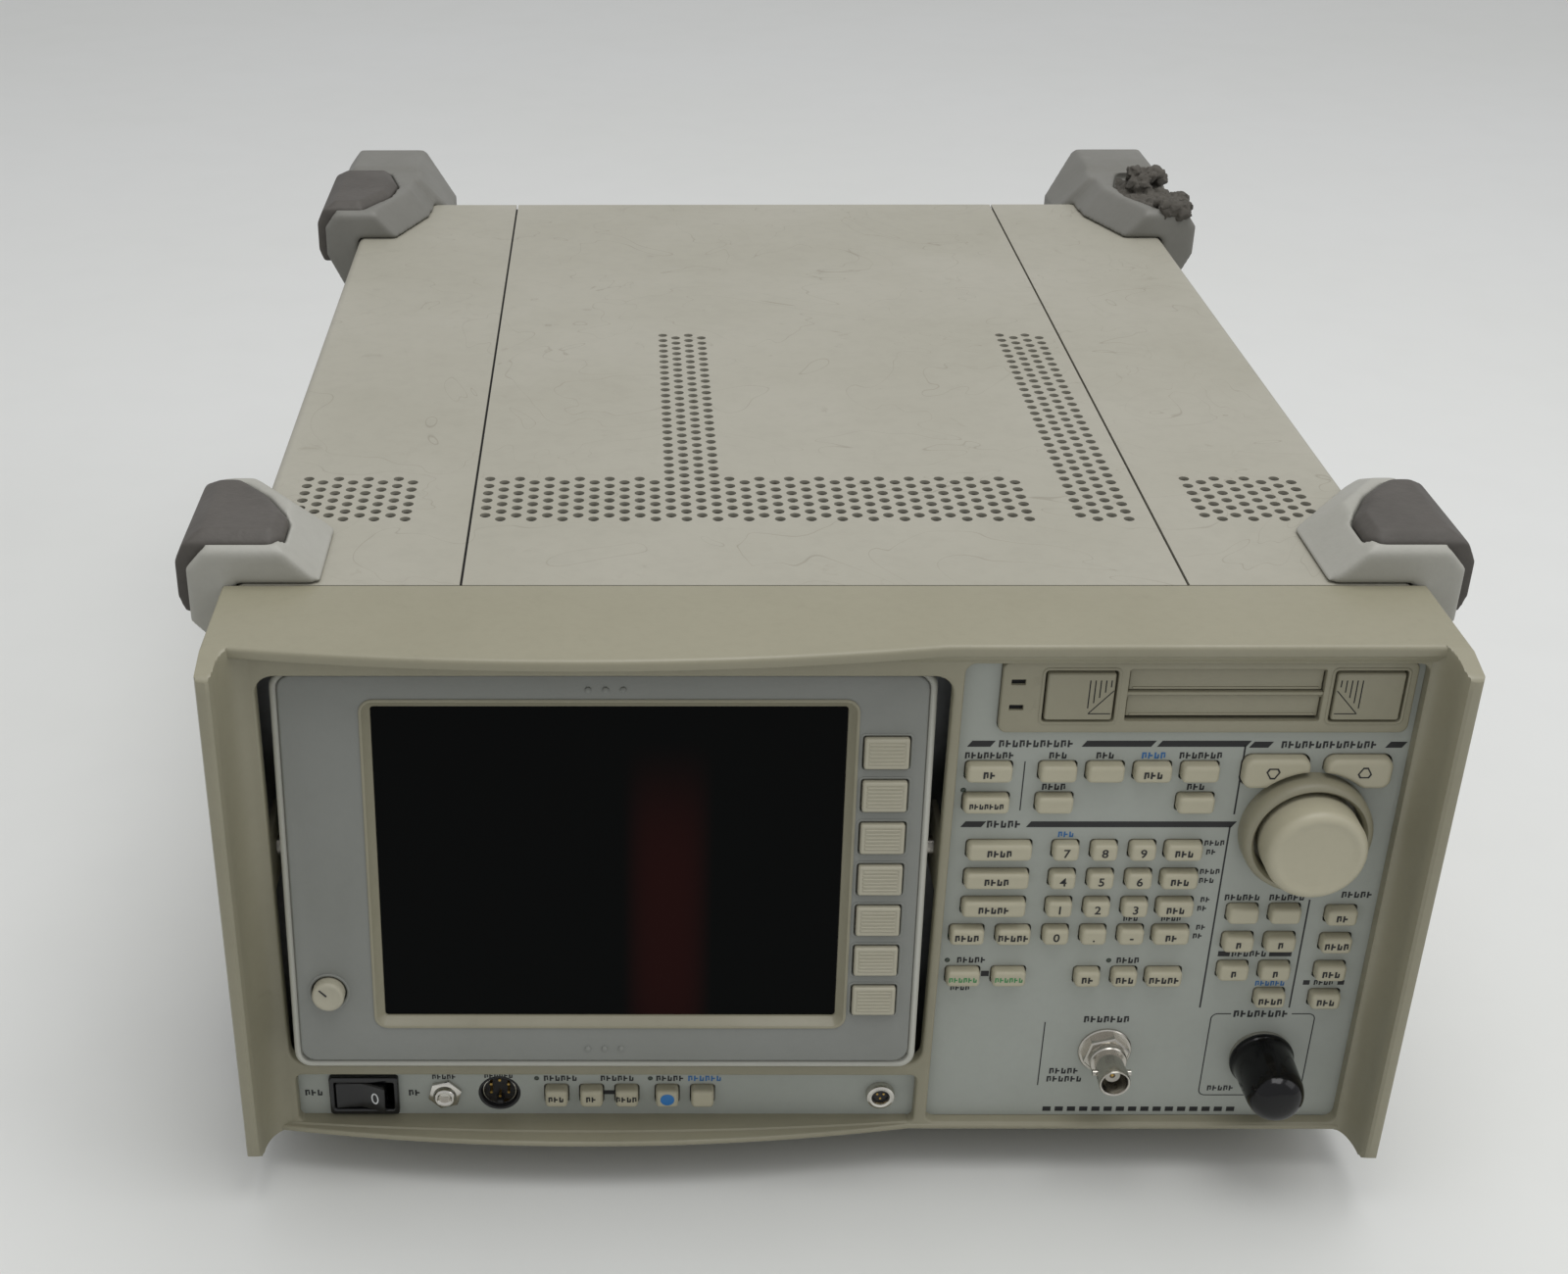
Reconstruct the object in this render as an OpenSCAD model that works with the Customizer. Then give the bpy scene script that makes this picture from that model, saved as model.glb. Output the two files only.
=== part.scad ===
// Bench spectrum analyser: a 353 mm wide instrument with a tilting flat display on the left
// and a key panel with a tuning knob, a calibration output and an RF input on the right.
//
// Frame: X to the instrument's right as its user sees it, Y from the front to the rear, Z up.
// The origin is below the middle of the instrument, in the plane of the feet.
// The modules draw y from the plane where the covers meet the bezel; place() moves them to the frame.
// "Front" coordinates below are (x, z), and y grows away from the user.

/* [Body] */
// Width of the front bezel over its side wings
bezel_w = 353; // [351:1:357]
// Width of the sheet metal body over its side covers
body_w = 346; // [345:1:347]
// Height of the body from the bottom cover to the top cover
body_h = 177; // [176:1:178]
// Depth of the body behind the bezel
body_d = 393; // [385:1:410]
// Height of the feet below the bottom cover
foot_h = 15; // [14:1:16]
// Thickness of the sheet metal covers
sheet = 1.2; // [1.0:0.1:1.4]

/* [Bezel] */
// Depth of the bezel's front face in front of the covers
fascia_y = 36; // [35.5:0.5:36.5]
// Depth of the side wings' front edges in front of the covers
wing_y = 52; // [48:1:56]
// How far the upper and lower lips bulge forward over the display
bulge = 8.9; // [6:0.1:10]

/* [Display] */
// Resting tilt of the display away from upright, in degrees
tilt = 6; // [4:0.5:7]
// Width of the display unit
display_w = 190.5; // [188:0.5:191]
// Height of the display face
display_h = 128.6; // [126:0.1:128.8]

/* [Keys] */
// How far a key stands out of its panel
key_proud = 3.5; // [2.5:0.1:4]
// Gap round a key in its panel
key_gap = 0.4; // [0.2:0.05:0.4]

/* [Vents] */
// Diameter of one vent hole
vent_d = 3.4; // [2.8:0.1:3.6]
// Distance between neighbouring columns of vent holes
vent_pitch_x = 4.86; // [4.7:0.02:4.9]
// Distance between neighbouring rows of vent holes
vent_pitch_y = 5.77; // [5.6:0.01:5.8]

/* [Hidden] */
$fn = 64;

// Colours
beige = [0.62, 0.60, 0.52];
cover_grey = [0.72, 0.71, 0.66];
panel_grey = [0.50, 0.51, 0.50];
guard_grey = [0.55, 0.55, 0.53];
pad_brown = [0.36, 0.34, 0.32];
key_cream = [0.74, 0.72, 0.65];
metal = [0.75, 0.75, 0.76];
board_green = [0.12, 0.35, 0.22];
dark = [0.06, 0.06, 0.07];

// Body planes
body_z0 = foot_h;
body_z1 = foot_h + body_h;
mid_z = (body_z0 + body_z1) / 2;
half_w = body_w / 2;
body_gap = 0.1;

// Bezel planes
bezel_z0 = body_z0 + 2.5;
bezel_z1 = body_z1;
bezel_half = bezel_w / 2;
panel_y = fascia_y - 4;
panel_t = 2;
wing_t = 4.5;
lip_t = 3.5;
lip_step = 2.5;
wall_t = 2.5;
cavity_half = bezel_half - wall_t - 1;
bulge_x1 = 31.5;

// Openings in the bezel: left, right, bottom and top edges
display_open = [-163, 34.4, 43, 181.0];
strip_open = [-161.8, 33.4, bezel_z0 + wall_t, 38.8];
control_open = [37.4, 167.5, bezel_z0 + wall_t, 185];

// Display unit
display_x = -64.6;
pivot_y = -22;
pivot_z = 116;
face_ahead = 17.5;
pivot_r = 3;
ear_t = 2;
run_gap = 0.05;
face_t = 2.5;
display_low = -65.5;
housing_depth = 20;
housing_lip = 3;
lcd_x0 = -131.3;
lcd_x1 = 5.6;
lcd_z0 = -50.5;
lcd_z1 = 51.9;
softkey_x = 16.8;
softkey_top = 38.5;
softkey_pitch = 13.65;
softkey_w = 12.9;
softkey_h = 9.6;
intensity_x = -147.7;
intensity_z = -41.0;

// Control panel: key places as (x, z)
key_h = 5.7;
key_back = 9;
digit_x = 72;
digit_pitch = 11.35;
row_z = 121.4;
row_pitch = 10.1;
digit_w = 7.6;
unit_x = 106.8;
unit_w = 10.8;
function_x = 52.4;
function_w = 19;
knob_x = 141.3;
knob_z = 128.6;
knob_r = 14.6;
knob_proud = 16.8;
ring_in = 15.6;
ring_r = 19;
ring_proud = 7.5;
step_z = 148.6;
step_h = 9.9;
bnc_x = 92.1;
bnc_z = 46.2;
input_x = 141;
input_z = 44;
strip_z = 28.7;

digit_places = [for (row = [0:3], col = [0:2]) [digit_x + col * digit_pitch, row_z - row * row_pitch]];
unit_places = [for (row = [0:3]) [unit_x, row_z - row * row_pitch]];
function_places = [for (row = [0:2]) [function_x, row_z - row * row_pitch]];
measure_z = [148.4, 137.8];
measure_pitch = 13.7;
measure_x = 67;
mode_x = 47.1;
mode_w = 13.3;
measure_w = 10.7;
measure_places = concat(
  [for (i = [0:3]) [measure_x + i * measure_pitch, measure_z[0]]],
  [for (i = [0, 3]) [measure_x + i * measure_pitch, measure_z[1]]]
);
mode_places = [for (z = measure_z) [mode_x, z]];
sweep_w = 10.2;
sweep_places = [for (z = [91.0, 75.5], x = [45.2, 59.2]) [x, z]];
narrow_places = [for (i = [0:1]) [83.2 + i * digit_pitch, 75.4]];
input_key_place = [[106.6, 75.4]];
screen_x = [127.5, 140.2];
screen_z = [98.8, 88.4, 77.7, 67.4];
screen_w = 9.1;
screen_places = concat([for (i = [0:2], x = screen_x) [x, screen_z[i]]], [[screen_x[1], screen_z[3]]]);
marker_z = [98.2, 88.0, 77.6, 67.0];
marker_places = [for (z = marker_z) [157.2, z]];
utility_key_x = [-79.9, -68.8, -57.6, -44.8, -33.6];
utility_places = [for (x = utility_key_x) [x, strip_z]];
utility_w = 7.2;
utility_h = 6.8;

// Memory card drive: the beige bezel in the panel's upper part
card_edge = [48.3, 165.2, 161.8, 184.8];
card_y = panel_y + 2;
card_t = 4;
slot_edge = [84, 139.4, 165.6, 182.4];
eject_z = 173.8;
eject_h = 15.4;
eject_w = 19.5;
eject_x = [70.6, 152.1];
door_h = 6.7;
door_over = 0.3;
door_t = 1.2;
door_hinge_y = -32;
door_hinge_z = [173.1, 181.6];
door_pin_r = 0.6;

// Power switch and sockets in the lower strip
rocker_x = -141;
rocker_w = 22;
rocker_h = 14.8;
rocker_swing = 9;
phone_x = -115.4;
socket_x = -98.1;
socket_r = 6.6;
probe_x = 22.8;

// Corner guards
guard_t = 12;
guard_side = 14;
guard_len = 70;
pad_t = 4;
rear_rise = 1.5;
rear_reach = 48;
lower_setback = 12;

// The slip-on cap reaches furthest forward, the rear guards furthest back.
cap_reach = 25.2;
mid_y = (body_d + rear_reach - panel_y - cap_reach) / 2;

// ---- Helpers -------------------------------------------------------------------------------

// Moves a sub-part from the drawing position to the part's frame.
module place() {
  translate([0, -mid_y, 0]) children();
}

// Extrudes a front outline (x, z) from y0 back to y1.
module on_front(y0, y1) {
  translate([0, y1, 0]) rotate([90, 0, 0]) linear_extrude(y1 - y0) children();
}

// Extrudes a side outline (y, z) from x0 to x1.
module on_side(x0, x1) {
  translate([x0, 0, 0]) rotate([90, 0, 90]) linear_extrude(x1 - x0) children();
}

// Rectangle with round corners, centred on the origin.
module round_rect(w, h, r) {
  square([w - 2 * r, h], center = true);
  square([w, h - 2 * r], center = true);
  for (x = [-1, 1], y = [-1, 1]) translate([x * (w / 2 - r), y * (h / 2 - r)]) circle(r);
}

// Round-cornered rectangle between the edges [left, right, bottom, top].
module edge_rect(e, r, grow = 0) {
  translate([(e[0] + e[1]) / 2, (e[2] + e[3]) / 2])
    round_rect(e[1] - e[0] + 2 * grow, e[3] - e[2] + 2 * grow, r);
}

// Revolves (radius, height) points about an axis along Y through (x, z); height runs forward from y.
module turned_front(x, y, z) {
  translate([x, y, z]) rotate([90, 0, 0]) rotate_extrude() children();
}

// The same, with height running to the rear.
module turned_rear(x, y, z) {
  translate([x, y, z]) rotate([-90, 0, 0]) rotate_extrude() children();
}

// Puts children, drawn with the display face in the plane y = 0, on the tilted display.
module on_display() {
  translate([0, pivot_y, pivot_z]) rotate([-tilt, 0, 0]) translate([0, -face_ahead, 0]) children();
}

// One key: the cap through its panel, and the flange that keeps it in.
module key(place, w, h, r = 1.2) {
  translate([place[0], 0, place[1]]) {
    on_front(-panel_y - key_proud, -panel_y - key_proud + key_back) round_rect(w, h, r);
    on_front(-panel_y + panel_t + 0.3, -panel_y + panel_t + 1.5) round_rect(w + 1.6, h + 1.6, 0.6);
  }
}

module keys(places, w, h) {
  for (p = places) key(p, w, h);
}

module key_holes(places, w, h) {
  for (p = places) translate(p) round_rect(w + 2 * key_gap, h + 2 * key_gap, 1.3);
}

// ---- Bezel and panels ----------------------------------------------------------------------

// Plan outline of a lip whose front edge bulges over the display.
module lip_plan(front) {
  chord = bulge_x1 + half_w;
  radius = (chord * chord / 4 + bulge * bulge) / (2 * bulge);
  centre_x = (bulge_x1 - half_w) / 2;
  translate([-half_w, -front]) square([body_w, front - panel_y]);
  intersection() {
    translate([centre_x, radius - front - bulge]) circle(radius, $fn = 200);
    translate([-half_w, -front - bulge - 1]) square([chord, bulge + 1 + lip_step]);
  }
}

// Side outline (y, z) of a wing: its upper and lower front corners are cut back.
module wing_outline() {
  polygon([
    [-panel_y, bezel_z0], [-panel_y, bezel_z1], [-fascia_y - lip_step, bezel_z1],
    [-wing_y, bezel_z1 - 4], [-wing_y, bezel_z0 + 2.5], [-wing_y + 12, bezel_z0]
  ]);
}

// Ear that carries one display pivot, behind the bezel's front face.
module pivot_ear(x) {
  on_side(x, x + ear_t) difference() {
    translate([-panel_y - 0.5, pivot_z - 10]) square([20, 20]);
    translate([pivot_y, pivot_z]) circle(pivot_r + 0.02);
  }
}

module front_bezel() {
  color(beige) {
    difference() {
      union() {
        on_front(-fascia_y, 0) edge_rect([-bezel_half, bezel_half, bezel_z0, bezel_z1], 5);
        translate([0, 0, bezel_z1 - lip_t]) linear_extrude(lip_t) lip_plan(fascia_y + lip_step);
        translate([0, 0, bezel_z0]) linear_extrude(lip_t) lip_plan(fascia_y);
        for (x = [-bezel_half, bezel_half - wing_t]) on_side(x, x + wing_t) wing_outline();
      }
      on_front(-panel_y, 1) edge_rect([-cavity_half, cavity_half, bezel_z0 + wall_t, bezel_z1 - lip_t], 2);
      on_front(-fascia_y - 30, -panel_y + 1) {
        edge_rect(display_open, 5);
        edge_rect(strip_open, 1.5);
        edge_rect(control_open, 2);
      }
    }
    pivot_ear(display_open[0] - ear_t);
    pivot_ear(display_open[1]);
  }
}

module control_panel() {
  color(panel_grey) on_front(-panel_y, -panel_y + panel_t) difference() {
    edge_rect([36.5, 169.5, bezel_z0 + wall_t + 0.1, 187], 1);
    edge_rect(card_edge, 2.5, 0.2);
    key_holes(digit_places, digit_w, key_h);
    key_holes(unit_places, unit_w, key_h);
    key_holes(function_places, function_w, key_h);
    key_holes(measure_places, measure_w, key_h);
    key_holes(mode_places, mode_w, key_h);
    key_holes(sweep_places, sweep_w, key_h);
    key_holes(narrow_places, digit_w, key_h);
    key_holes(input_key_place, unit_w, key_h);
    key_holes(screen_places, screen_w, key_h);
    key_holes(marker_places, screen_w, key_h);
    step_outline(-1, key_gap);
    step_outline(1, key_gap);
    translate([knob_x, knob_z]) circle(5);
    translate([bnc_x, bnc_z]) circle(5);
    translate([input_x, input_z]) circle(6.5);
  }
}

module utility_panel() {
  color(panel_grey) on_front(-panel_y, -panel_y + panel_t) difference() {
    edge_rect([strip_open[0] - 2, strip_open[1] + 2, strip_open[2] + 0.1, strip_open[3] + 2], 1);
    key_holes(utility_places, utility_w, utility_h);
    translate([rocker_x, strip_z]) square([rocker_w - 2, rocker_h - 2], center = true);
    translate([phone_x, strip_z]) circle(3.2);
    translate([socket_x, strip_z]) circle(socket_r + 0.1);
    translate([probe_x, strip_z]) circle(3.6);
  }
}

// Wing-shaped step key: a rounded block cut back round the knob ring. side is -1 (down) or 1 (up).
module step_outline(side, grow = 0) {
  centre = side < 0 ? 129.9 : 153.6;
  difference() {
    translate([centre, step_z]) round_rect(19.2 + 2 * grow, step_h + 2 * grow, 3);
    translate([knob_x, knob_z]) circle(ring_r + 1.4 - grow);
  }
}

module step_key(side) {
  color(key_cream) {
    on_front(-panel_y - key_proud, -panel_y - key_proud + key_back) step_outline(side);
    on_front(-panel_y + panel_t + 0.3, -panel_y + panel_t + 1.5) step_outline(side, 0.8);
  }
}

// ---- Keys in banks -------------------------------------------------------------------------

module function_keys() color(key_cream) keys(function_places, function_w, key_h);
module digit_keys() color(key_cream) keys(digit_places, digit_w, key_h);
module unit_keys() color(key_cream) keys(unit_places, unit_w, key_h);
module screen_keys() color(key_cream) keys(screen_places, screen_w, key_h);
module marker_keys() color(key_cream) keys(marker_places, screen_w, key_h);
module utility_keys() color(key_cream) keys(utility_places, utility_w, utility_h);

module measurement_keys() color(key_cream) {
  keys(measure_places, measure_w, key_h);
  keys(mode_places, mode_w, key_h);
}

module sweep_keys() color(key_cream) {
  keys(sweep_places, sweep_w, key_h);
  keys(narrow_places, digit_w, key_h);
  keys(input_key_place, unit_w, key_h);
}

// ---- Tuning knob ---------------------------------------------------------------------------

module tuning_knob() {
  color(key_cream) turned_front(knob_x, -panel_y, knob_z) polygon([
    [0, -7], [3, -7], [3, 1], [knob_r - 0.4, 1], [knob_r - 0.4, 3], [knob_r, 4.5],
    [knob_r, knob_proud - 1.5], [knob_r - 1.5, knob_proud], [knob_r - 3, knob_proud],
    [knob_r - 5, knob_proud - 0.8], [0, knob_proud - 1.4]
  ]);
}

module knob_ring() {
  color(beige) turned_front(knob_x, -panel_y, knob_z) polygon([
    [ring_in, 0], [ring_r, 0], [ring_r, ring_proud - 1.6], [ring_r - 0.8, ring_proud - 0.3],
    [ring_r - 1.8, ring_proud], [ring_in, ring_proud - 1.4]
  ]);
}

// Bushing with its bore open to the front, on a square body.
module rotary_encoder() {
  color(metal) difference() {
    union() {
      on_front(-panel_y + panel_t, -22) translate([knob_x, knob_z]) square(12.5, center = true);
      turned_front(knob_x, -panel_y + panel_t, knob_z) polygon([[0, -1], [4.8, -1], [4.8, 2], [0, 2]]);
    }
    turned_front(knob_x, -panel_y, knob_z)
      polygon([[0, -7.5], [3 + run_gap, -7.5], [3 + run_gap, 3], [0, 3]]);
  }
}

// ---- Display unit --------------------------------------------------------------------------

// Outline of one display layer, drawn about the pivot's height; below adds to its lower edge and
// side takes from its left and right.
module display_outline(inset, r, below = 0, side = 0) {
  translate([display_x, display_low + (display_h - below) / 2])
    round_rect(display_w - 2 * (inset + side), display_h + below - 2 * inset, r);
}

module display_housing() {
  color(beige) on_display() difference() {
    on_front(face_t, housing_depth) display_outline(0, 5, housing_lip);
    on_front(face_t - 1, housing_depth - 2.5) display_outline(2.5, 3, housing_lip);
    translate([display_x - display_w / 2 - 1, face_ahead, 0]) rotate([0, 90, 0])
      cylinder(r = pivot_r + run_gap, h = display_w + 2);
  }
}

module display_face() {
  color(panel_grey) on_display() on_front(0, face_t) difference() {
    display_outline(0.6, 4.5, 0, 1.8);
    translate([(lcd_x0 + lcd_x1) / 2, (lcd_z0 + lcd_z1) / 2])
      round_rect(lcd_x1 - lcd_x0, lcd_z1 - lcd_z0, 0.8);
    for (i = [0:6]) translate([softkey_x, softkey_top - i * softkey_pitch])
      round_rect(softkey_w + 2 * key_gap, softkey_h + 2 * key_gap, 0.8);
    translate([intensity_x, intensity_z]) circle(5.2);
  }
}

module lcd_panel() {
  color(dark) on_display() {
    on_front(face_t + 0.1, face_t + 1.6)
      translate([(lcd_x0 + lcd_x1) / 2, 0.7]) round_rect(143, 108, 1);
    on_front(face_t + 1.6, face_t + 9)
      translate([(lcd_x0 + lcd_x1) / 2, 0.7]) round_rect(140, 105, 1);
  }
}

// Soft key i, counted from 1 at the top.
module softkey(i) {
  color(key_cream) on_display() translate([softkey_x, 0, softkey_top - (i - 1) * softkey_pitch]) {
    on_front(-1.6, 8) round_rect(softkey_w, softkey_h, 0.6);
    on_front(face_t + 0.3, face_t + 1.3) round_rect(softkey_w + 1.2, softkey_h + 1.6, 0.6);
  }
}

module intensity_knob() {
  color(key_cream) on_display() translate([intensity_x, 0, intensity_z]) difference() {
    turned_front(0, 0, 0) polygon([
      [0, -8], [2, -8], [2, -face_t - 0.3], [4.9, -face_t - 0.3], [4.9, 3.2], [4.3, 3.8], [0, 3.8]
    ]);
    translate([-3.6, -5, 2.2]) rotate([0, -45, 0]) translate([-0.4, 0, -4]) cube([0.8, 1.8, 5]);
  }
}

// Two headed pins through the bezel's ears into the display housing.
module display_pivots() {
  color(metal) for (side = [-1, 1]) {
    ear = side < 0 ? display_open[0] : display_open[1];
    translate([ear + side * (ear_t + 0.1), pivot_y, pivot_z]) rotate([0, -side * 90, 0]) {
      cylinder(r = pivot_r, h = 9);
      translate([0, 0, -1.4]) cylinder(r = pivot_r + 1.5, h = 1.4);
    }
  }
}

// ---- Memory card drive ---------------------------------------------------------------------

module card_bezel() {
  color(beige) difference() {
    on_front(-card_y, -card_y + card_t) difference() {
      edge_rect(card_edge, 2.5);
      edge_rect(slot_edge, 0.8);
      for (x = eject_x) translate([x, eject_z])
        round_rect(eject_w + 2 * key_gap, eject_h + 2 * key_gap, 0.8);
      for (z = [170.6, 178.8]) translate([52.9, z]) square([4, 1.6], center = true);
    }
    for (z = door_hinge_z) translate([slot_edge[0] - 1.2, door_hinge_y, z]) rotate([0, 90, 0])
      cylinder(r = door_pin_r + run_gap, h = slot_edge[1] - slot_edge[0] + 2.4);
  }
  color(beige) on_front(-card_y + 0.6, -card_y + card_t)
    translate([slot_edge[0] - 0.2, 174.1]) square([slot_edge[1] - slot_edge[0] + 0.4, 0.8]);
}

// Spring flap over one card slot, hung on two pin ends at its upper edge.
module card_door(i) {
  color(beige) {
    on_front(door_hinge_y - door_t / 2, door_hinge_y + door_t / 2)
      translate([slot_edge[0] + 0.3, door_hinge_z[i] - door_h + door_over])
        square([slot_edge[1] - slot_edge[0] - 0.6, door_h]);
    translate([slot_edge[0] - 1, door_hinge_y, door_hinge_z[i]]) rotate([0, 90, 0])
      cylinder(r = door_pin_r, h = slot_edge[1] - slot_edge[0] + 2);
  }
}

module eject_button(i) {
  color(beige) translate([eject_x[i], 0, eject_z]) {
    on_front(-card_y - 0.6, -card_y + 7) round_rect(eject_w, eject_h, 0.7);
    on_front(-card_y + card_t + 0.3, -card_y + card_t + 1.3) round_rect(eject_w + 1.4, eject_h + 1.4, 0.7);
  }
}

// Card cage with one pocket per slot, open to the front.
module card_drive() {
  color(metal) difference() {
    on_front(-29.5, 70) edge_rect([slot_edge[0] - 0.4, slot_edge[1] + 0.2, 164, 184.4], 1);
    for (z = [166, 174.9]) on_front(-31, 60)
      translate([slot_edge[0] + 0.1, z]) square([slot_edge[1] - slot_edge[0] - 0.4, 7.8]);
  }
}

// ---- Connectors and sockets on the front -----------------------------------------------------

module hex_nut(across, r) {
  difference() {
    circle(d = across / cos(30), $fn = 6);
    circle(r);
  }
}

// Bayonet socket: washer, nut, barrel with two lugs, and the insulator round the centre contact.
module cal_out_connector() {
  color(metal) {
    turned_front(bnc_x, -panel_y, bnc_z) polygon([
      [0, -8], [4.6, -8], [4.6, 0], [8.3, 0], [8.3, 1], [4.45, 1], [4.45, 12.6], [4.83, 12.6],
      [4.83, 17], [4.05, 17], [4.05, 6], [2.3, 6], [2.3, 13], [0.7, 13], [0.7, 8], [0, 8]
    ]);
    translate([bnc_x, 0, bnc_z]) {
      on_front(-panel_y - 4, -panel_y - 1) hex_nut(12.7, 4.4);
      for (side = [-1, 1]) translate([0, -panel_y - 11.4, 0]) rotate([0, 90 * side, 0])
        translate([0, 0, 4.4]) cylinder(r = 1, h = 1.5);
    }
  }
}

// Threaded coaxial socket, under the slip-on cap.
module input_connector() {
  color(metal) turned_front(input_x, -panel_y, input_z) polygon([
    [0, -10], [6.2, -10], [6.2, 0], [9.5, 0], [9.5, 1.4], [7.9, 1.4], [7.9, 16],
    [6.9, 17], [4.1, 17], [4.1, 6], [1.6, 6], [1.6, 12], [0, 12]
  ]);
}

module input_cap() {
  color(dark) turned_front(input_x, -panel_y, input_z) polygon([
    [7.9 + run_gap, 1.6], [9.9, 1.6], [9.9, 2.6], [9.5, 3.4], [9.0, 18], [8.2, 21.4], [6.6, 23.6],
    [4.2, 24.8], [0, 25.2], [0, 22], [5.5, 21], [7.9 + run_gap, 18]
  ]);
}

module phone_jack() {
  color(metal) turned_front(phone_x, -panel_y, strip_z) polygon([
    [1.8, -10], [3, -10], [3, 0], [5, 0], [5, 1.6], [3.6, 1.6], [3.2, 3.4], [1.8, 3.4]
  ]);
}

// Round multi-pole socket with six pins and a locating key.
module keyboard_socket() {
  color(dark) {
    turned_front(socket_x, -panel_y, strip_z) polygon([
      [0, -10], [6.6, -10], [6.6, 0.4], [5.6, 0.4], [5.6, -5], [0, -5]
    ]);
    translate([socket_x, 0, strip_z]) {
      for (a = [30:60:330]) translate([3.4 * cos(a), -panel_y + 5, 3.4 * sin(a)])
        rotate([90, 0, 0]) cylinder(r = 0.5, h = 3.5);
      on_front(-panel_y + 2, -panel_y + 5.1) translate([0, -4.9]) square([1.8, 1.6], center = true);
    }
  }
}

module probe_power_socket() {
  color(metal) turned_front(probe_x, -panel_y, strip_z) polygon([
    [0, -9], [3.4, -9], [3.4, 0], [4.6, 0], [4.6, 2], [3.8, 2.6], [2.6, 2.6], [2.6, -4], [0, -4]
  ]);
}

// ---- Power switch --------------------------------------------------------------------------

module power_switch_body() {
  color(dark) translate([rocker_x, 0, strip_z]) {
    difference() {
      union() {
        on_front(-panel_y - 2, -panel_y) round_rect(rocker_w, rocker_h, 1);
        on_front(-panel_y, -panel_y + 16) square([rocker_w - 2.4, rocker_h - 2.4], center = true);
      }
      on_front(-panel_y - 3, -panel_y + 10) square([rocker_w - 3.4, rocker_h - 4.4], center = true);
      translate([0, -panel_y + 4, -rocker_h / 2 + 1]) cylinder(r = 1 + run_gap, h = rocker_h - 2);
    }
  }
}

// Rocker on an upright pin: its left half is pressed in at rest.
module power_rocker() {
  color(dark) translate([rocker_x, -panel_y + 4, strip_z]) rotate([0, 0, -rocker_swing]) {
    translate([0, 0, -5]) linear_extrude(10)
      polygon([[-8, -7.2], [0, -5.4], [8, -7.2], [8, -3], [3, 2.4], [-3, 2.4], [-8, -3]]);
    translate([0, 0, -6]) cylinder(r = 1, h = 12);
  }
}

// ---- Sheet metal body ----------------------------------------------------------------------

// Staggered rows of vent holes: every second column is shifted by half a row.
module vent_block(x, y, columns, rows) {
  for (col = [0:columns - 1], row = [0:rows - 1])
    translate([x + col * vent_pitch_x, y + row * vent_pitch_y + (col % 2 == 0 ? 0.5 : 0) * vent_pitch_y])
      circle(d = vent_d, $fn = 24);
}

seam_l = -106.5;
seam_r = 106.8;
seam_gap = 0.4;
vent_y = 47.7;
vent_rows = 6;

module top_cover() {
  color(cover_grey) {
    translate([0, 0, body_z1 - sheet]) linear_extrude(sheet) difference() {
      translate([seam_l + seam_gap, 0.5]) square([seam_r - seam_l - 2 * seam_gap, body_d - 0.5]);
      vent_block(-102.1, vent_y, 36, vent_rows);
      vent_block(-102.1 + 12 * vent_pitch_x, vent_y + vent_rows * vent_pitch_y, 4, 30 - vent_rows);
      vent_block(84.4, vent_y, 4, 30);
    }
    // folded front edge
    translate([seam_l + 8, 0.5, body_z1 - 3.5]) cube([seam_r - seam_l - 16, sheet, 3]);
  }
}

// Cover section (x, z) for one side: the outer face, a round bend and the strip on top.
module cover_section(inner_x) {
  bend = 3;
  translate([-half_w, body_z0 + 1.3]) square([sheet, body_h - bend - 1.3]);
  translate([-half_w + bend, body_z1 - sheet]) square([inner_x - (-half_w + bend), sheet]);
  translate([-half_w + bend, body_z1 - bend]) intersection() {
    difference() {
      circle(bend);
      circle(bend - sheet);
    }
    translate([-bend, 0]) square(bend);
  }
}

module left_cover() {
  color(cover_grey) difference() {
    on_front(0.5, body_d) cover_section(seam_l - seam_gap);
    translate([0, 0, body_z1 - 5]) linear_extrude(10) vent_block(-161, vent_y, 8, vent_rows);
    on_side(-half_w - 5, -half_w + 5) vent_block(250, 60, 8, 12);
  }
}

module right_cover() {
  color(cover_grey) difference() {
    mirror([1, 0, 0]) on_front(0.5, body_d) cover_section(-seam_r - seam_gap);
    translate([0, 0, body_z1 - 5]) linear_extrude(10) vent_block(123.2, vent_y, 8, vent_rows);
    on_side(half_w - 5, half_w + 5) vent_block(250, 60, 8, 12);
  }
}

module bottom_cover() {
  color(cover_grey) translate([0, 0, body_z0]) linear_extrude(sheet) difference() {
    translate([-half_w, 0.5]) square([body_w, body_d - 0.5]);
    vent_block(-102.1, vent_y + 60, 20, 8);
  }
}

screw_places = concat(
  [for (x = [-165, 165], z = [75, mid_z, 132]) [x, z]],
  [for (x = [-55, 55], z = [23, 182]) [x, z]]
);
screw_r = 1.45;

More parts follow.
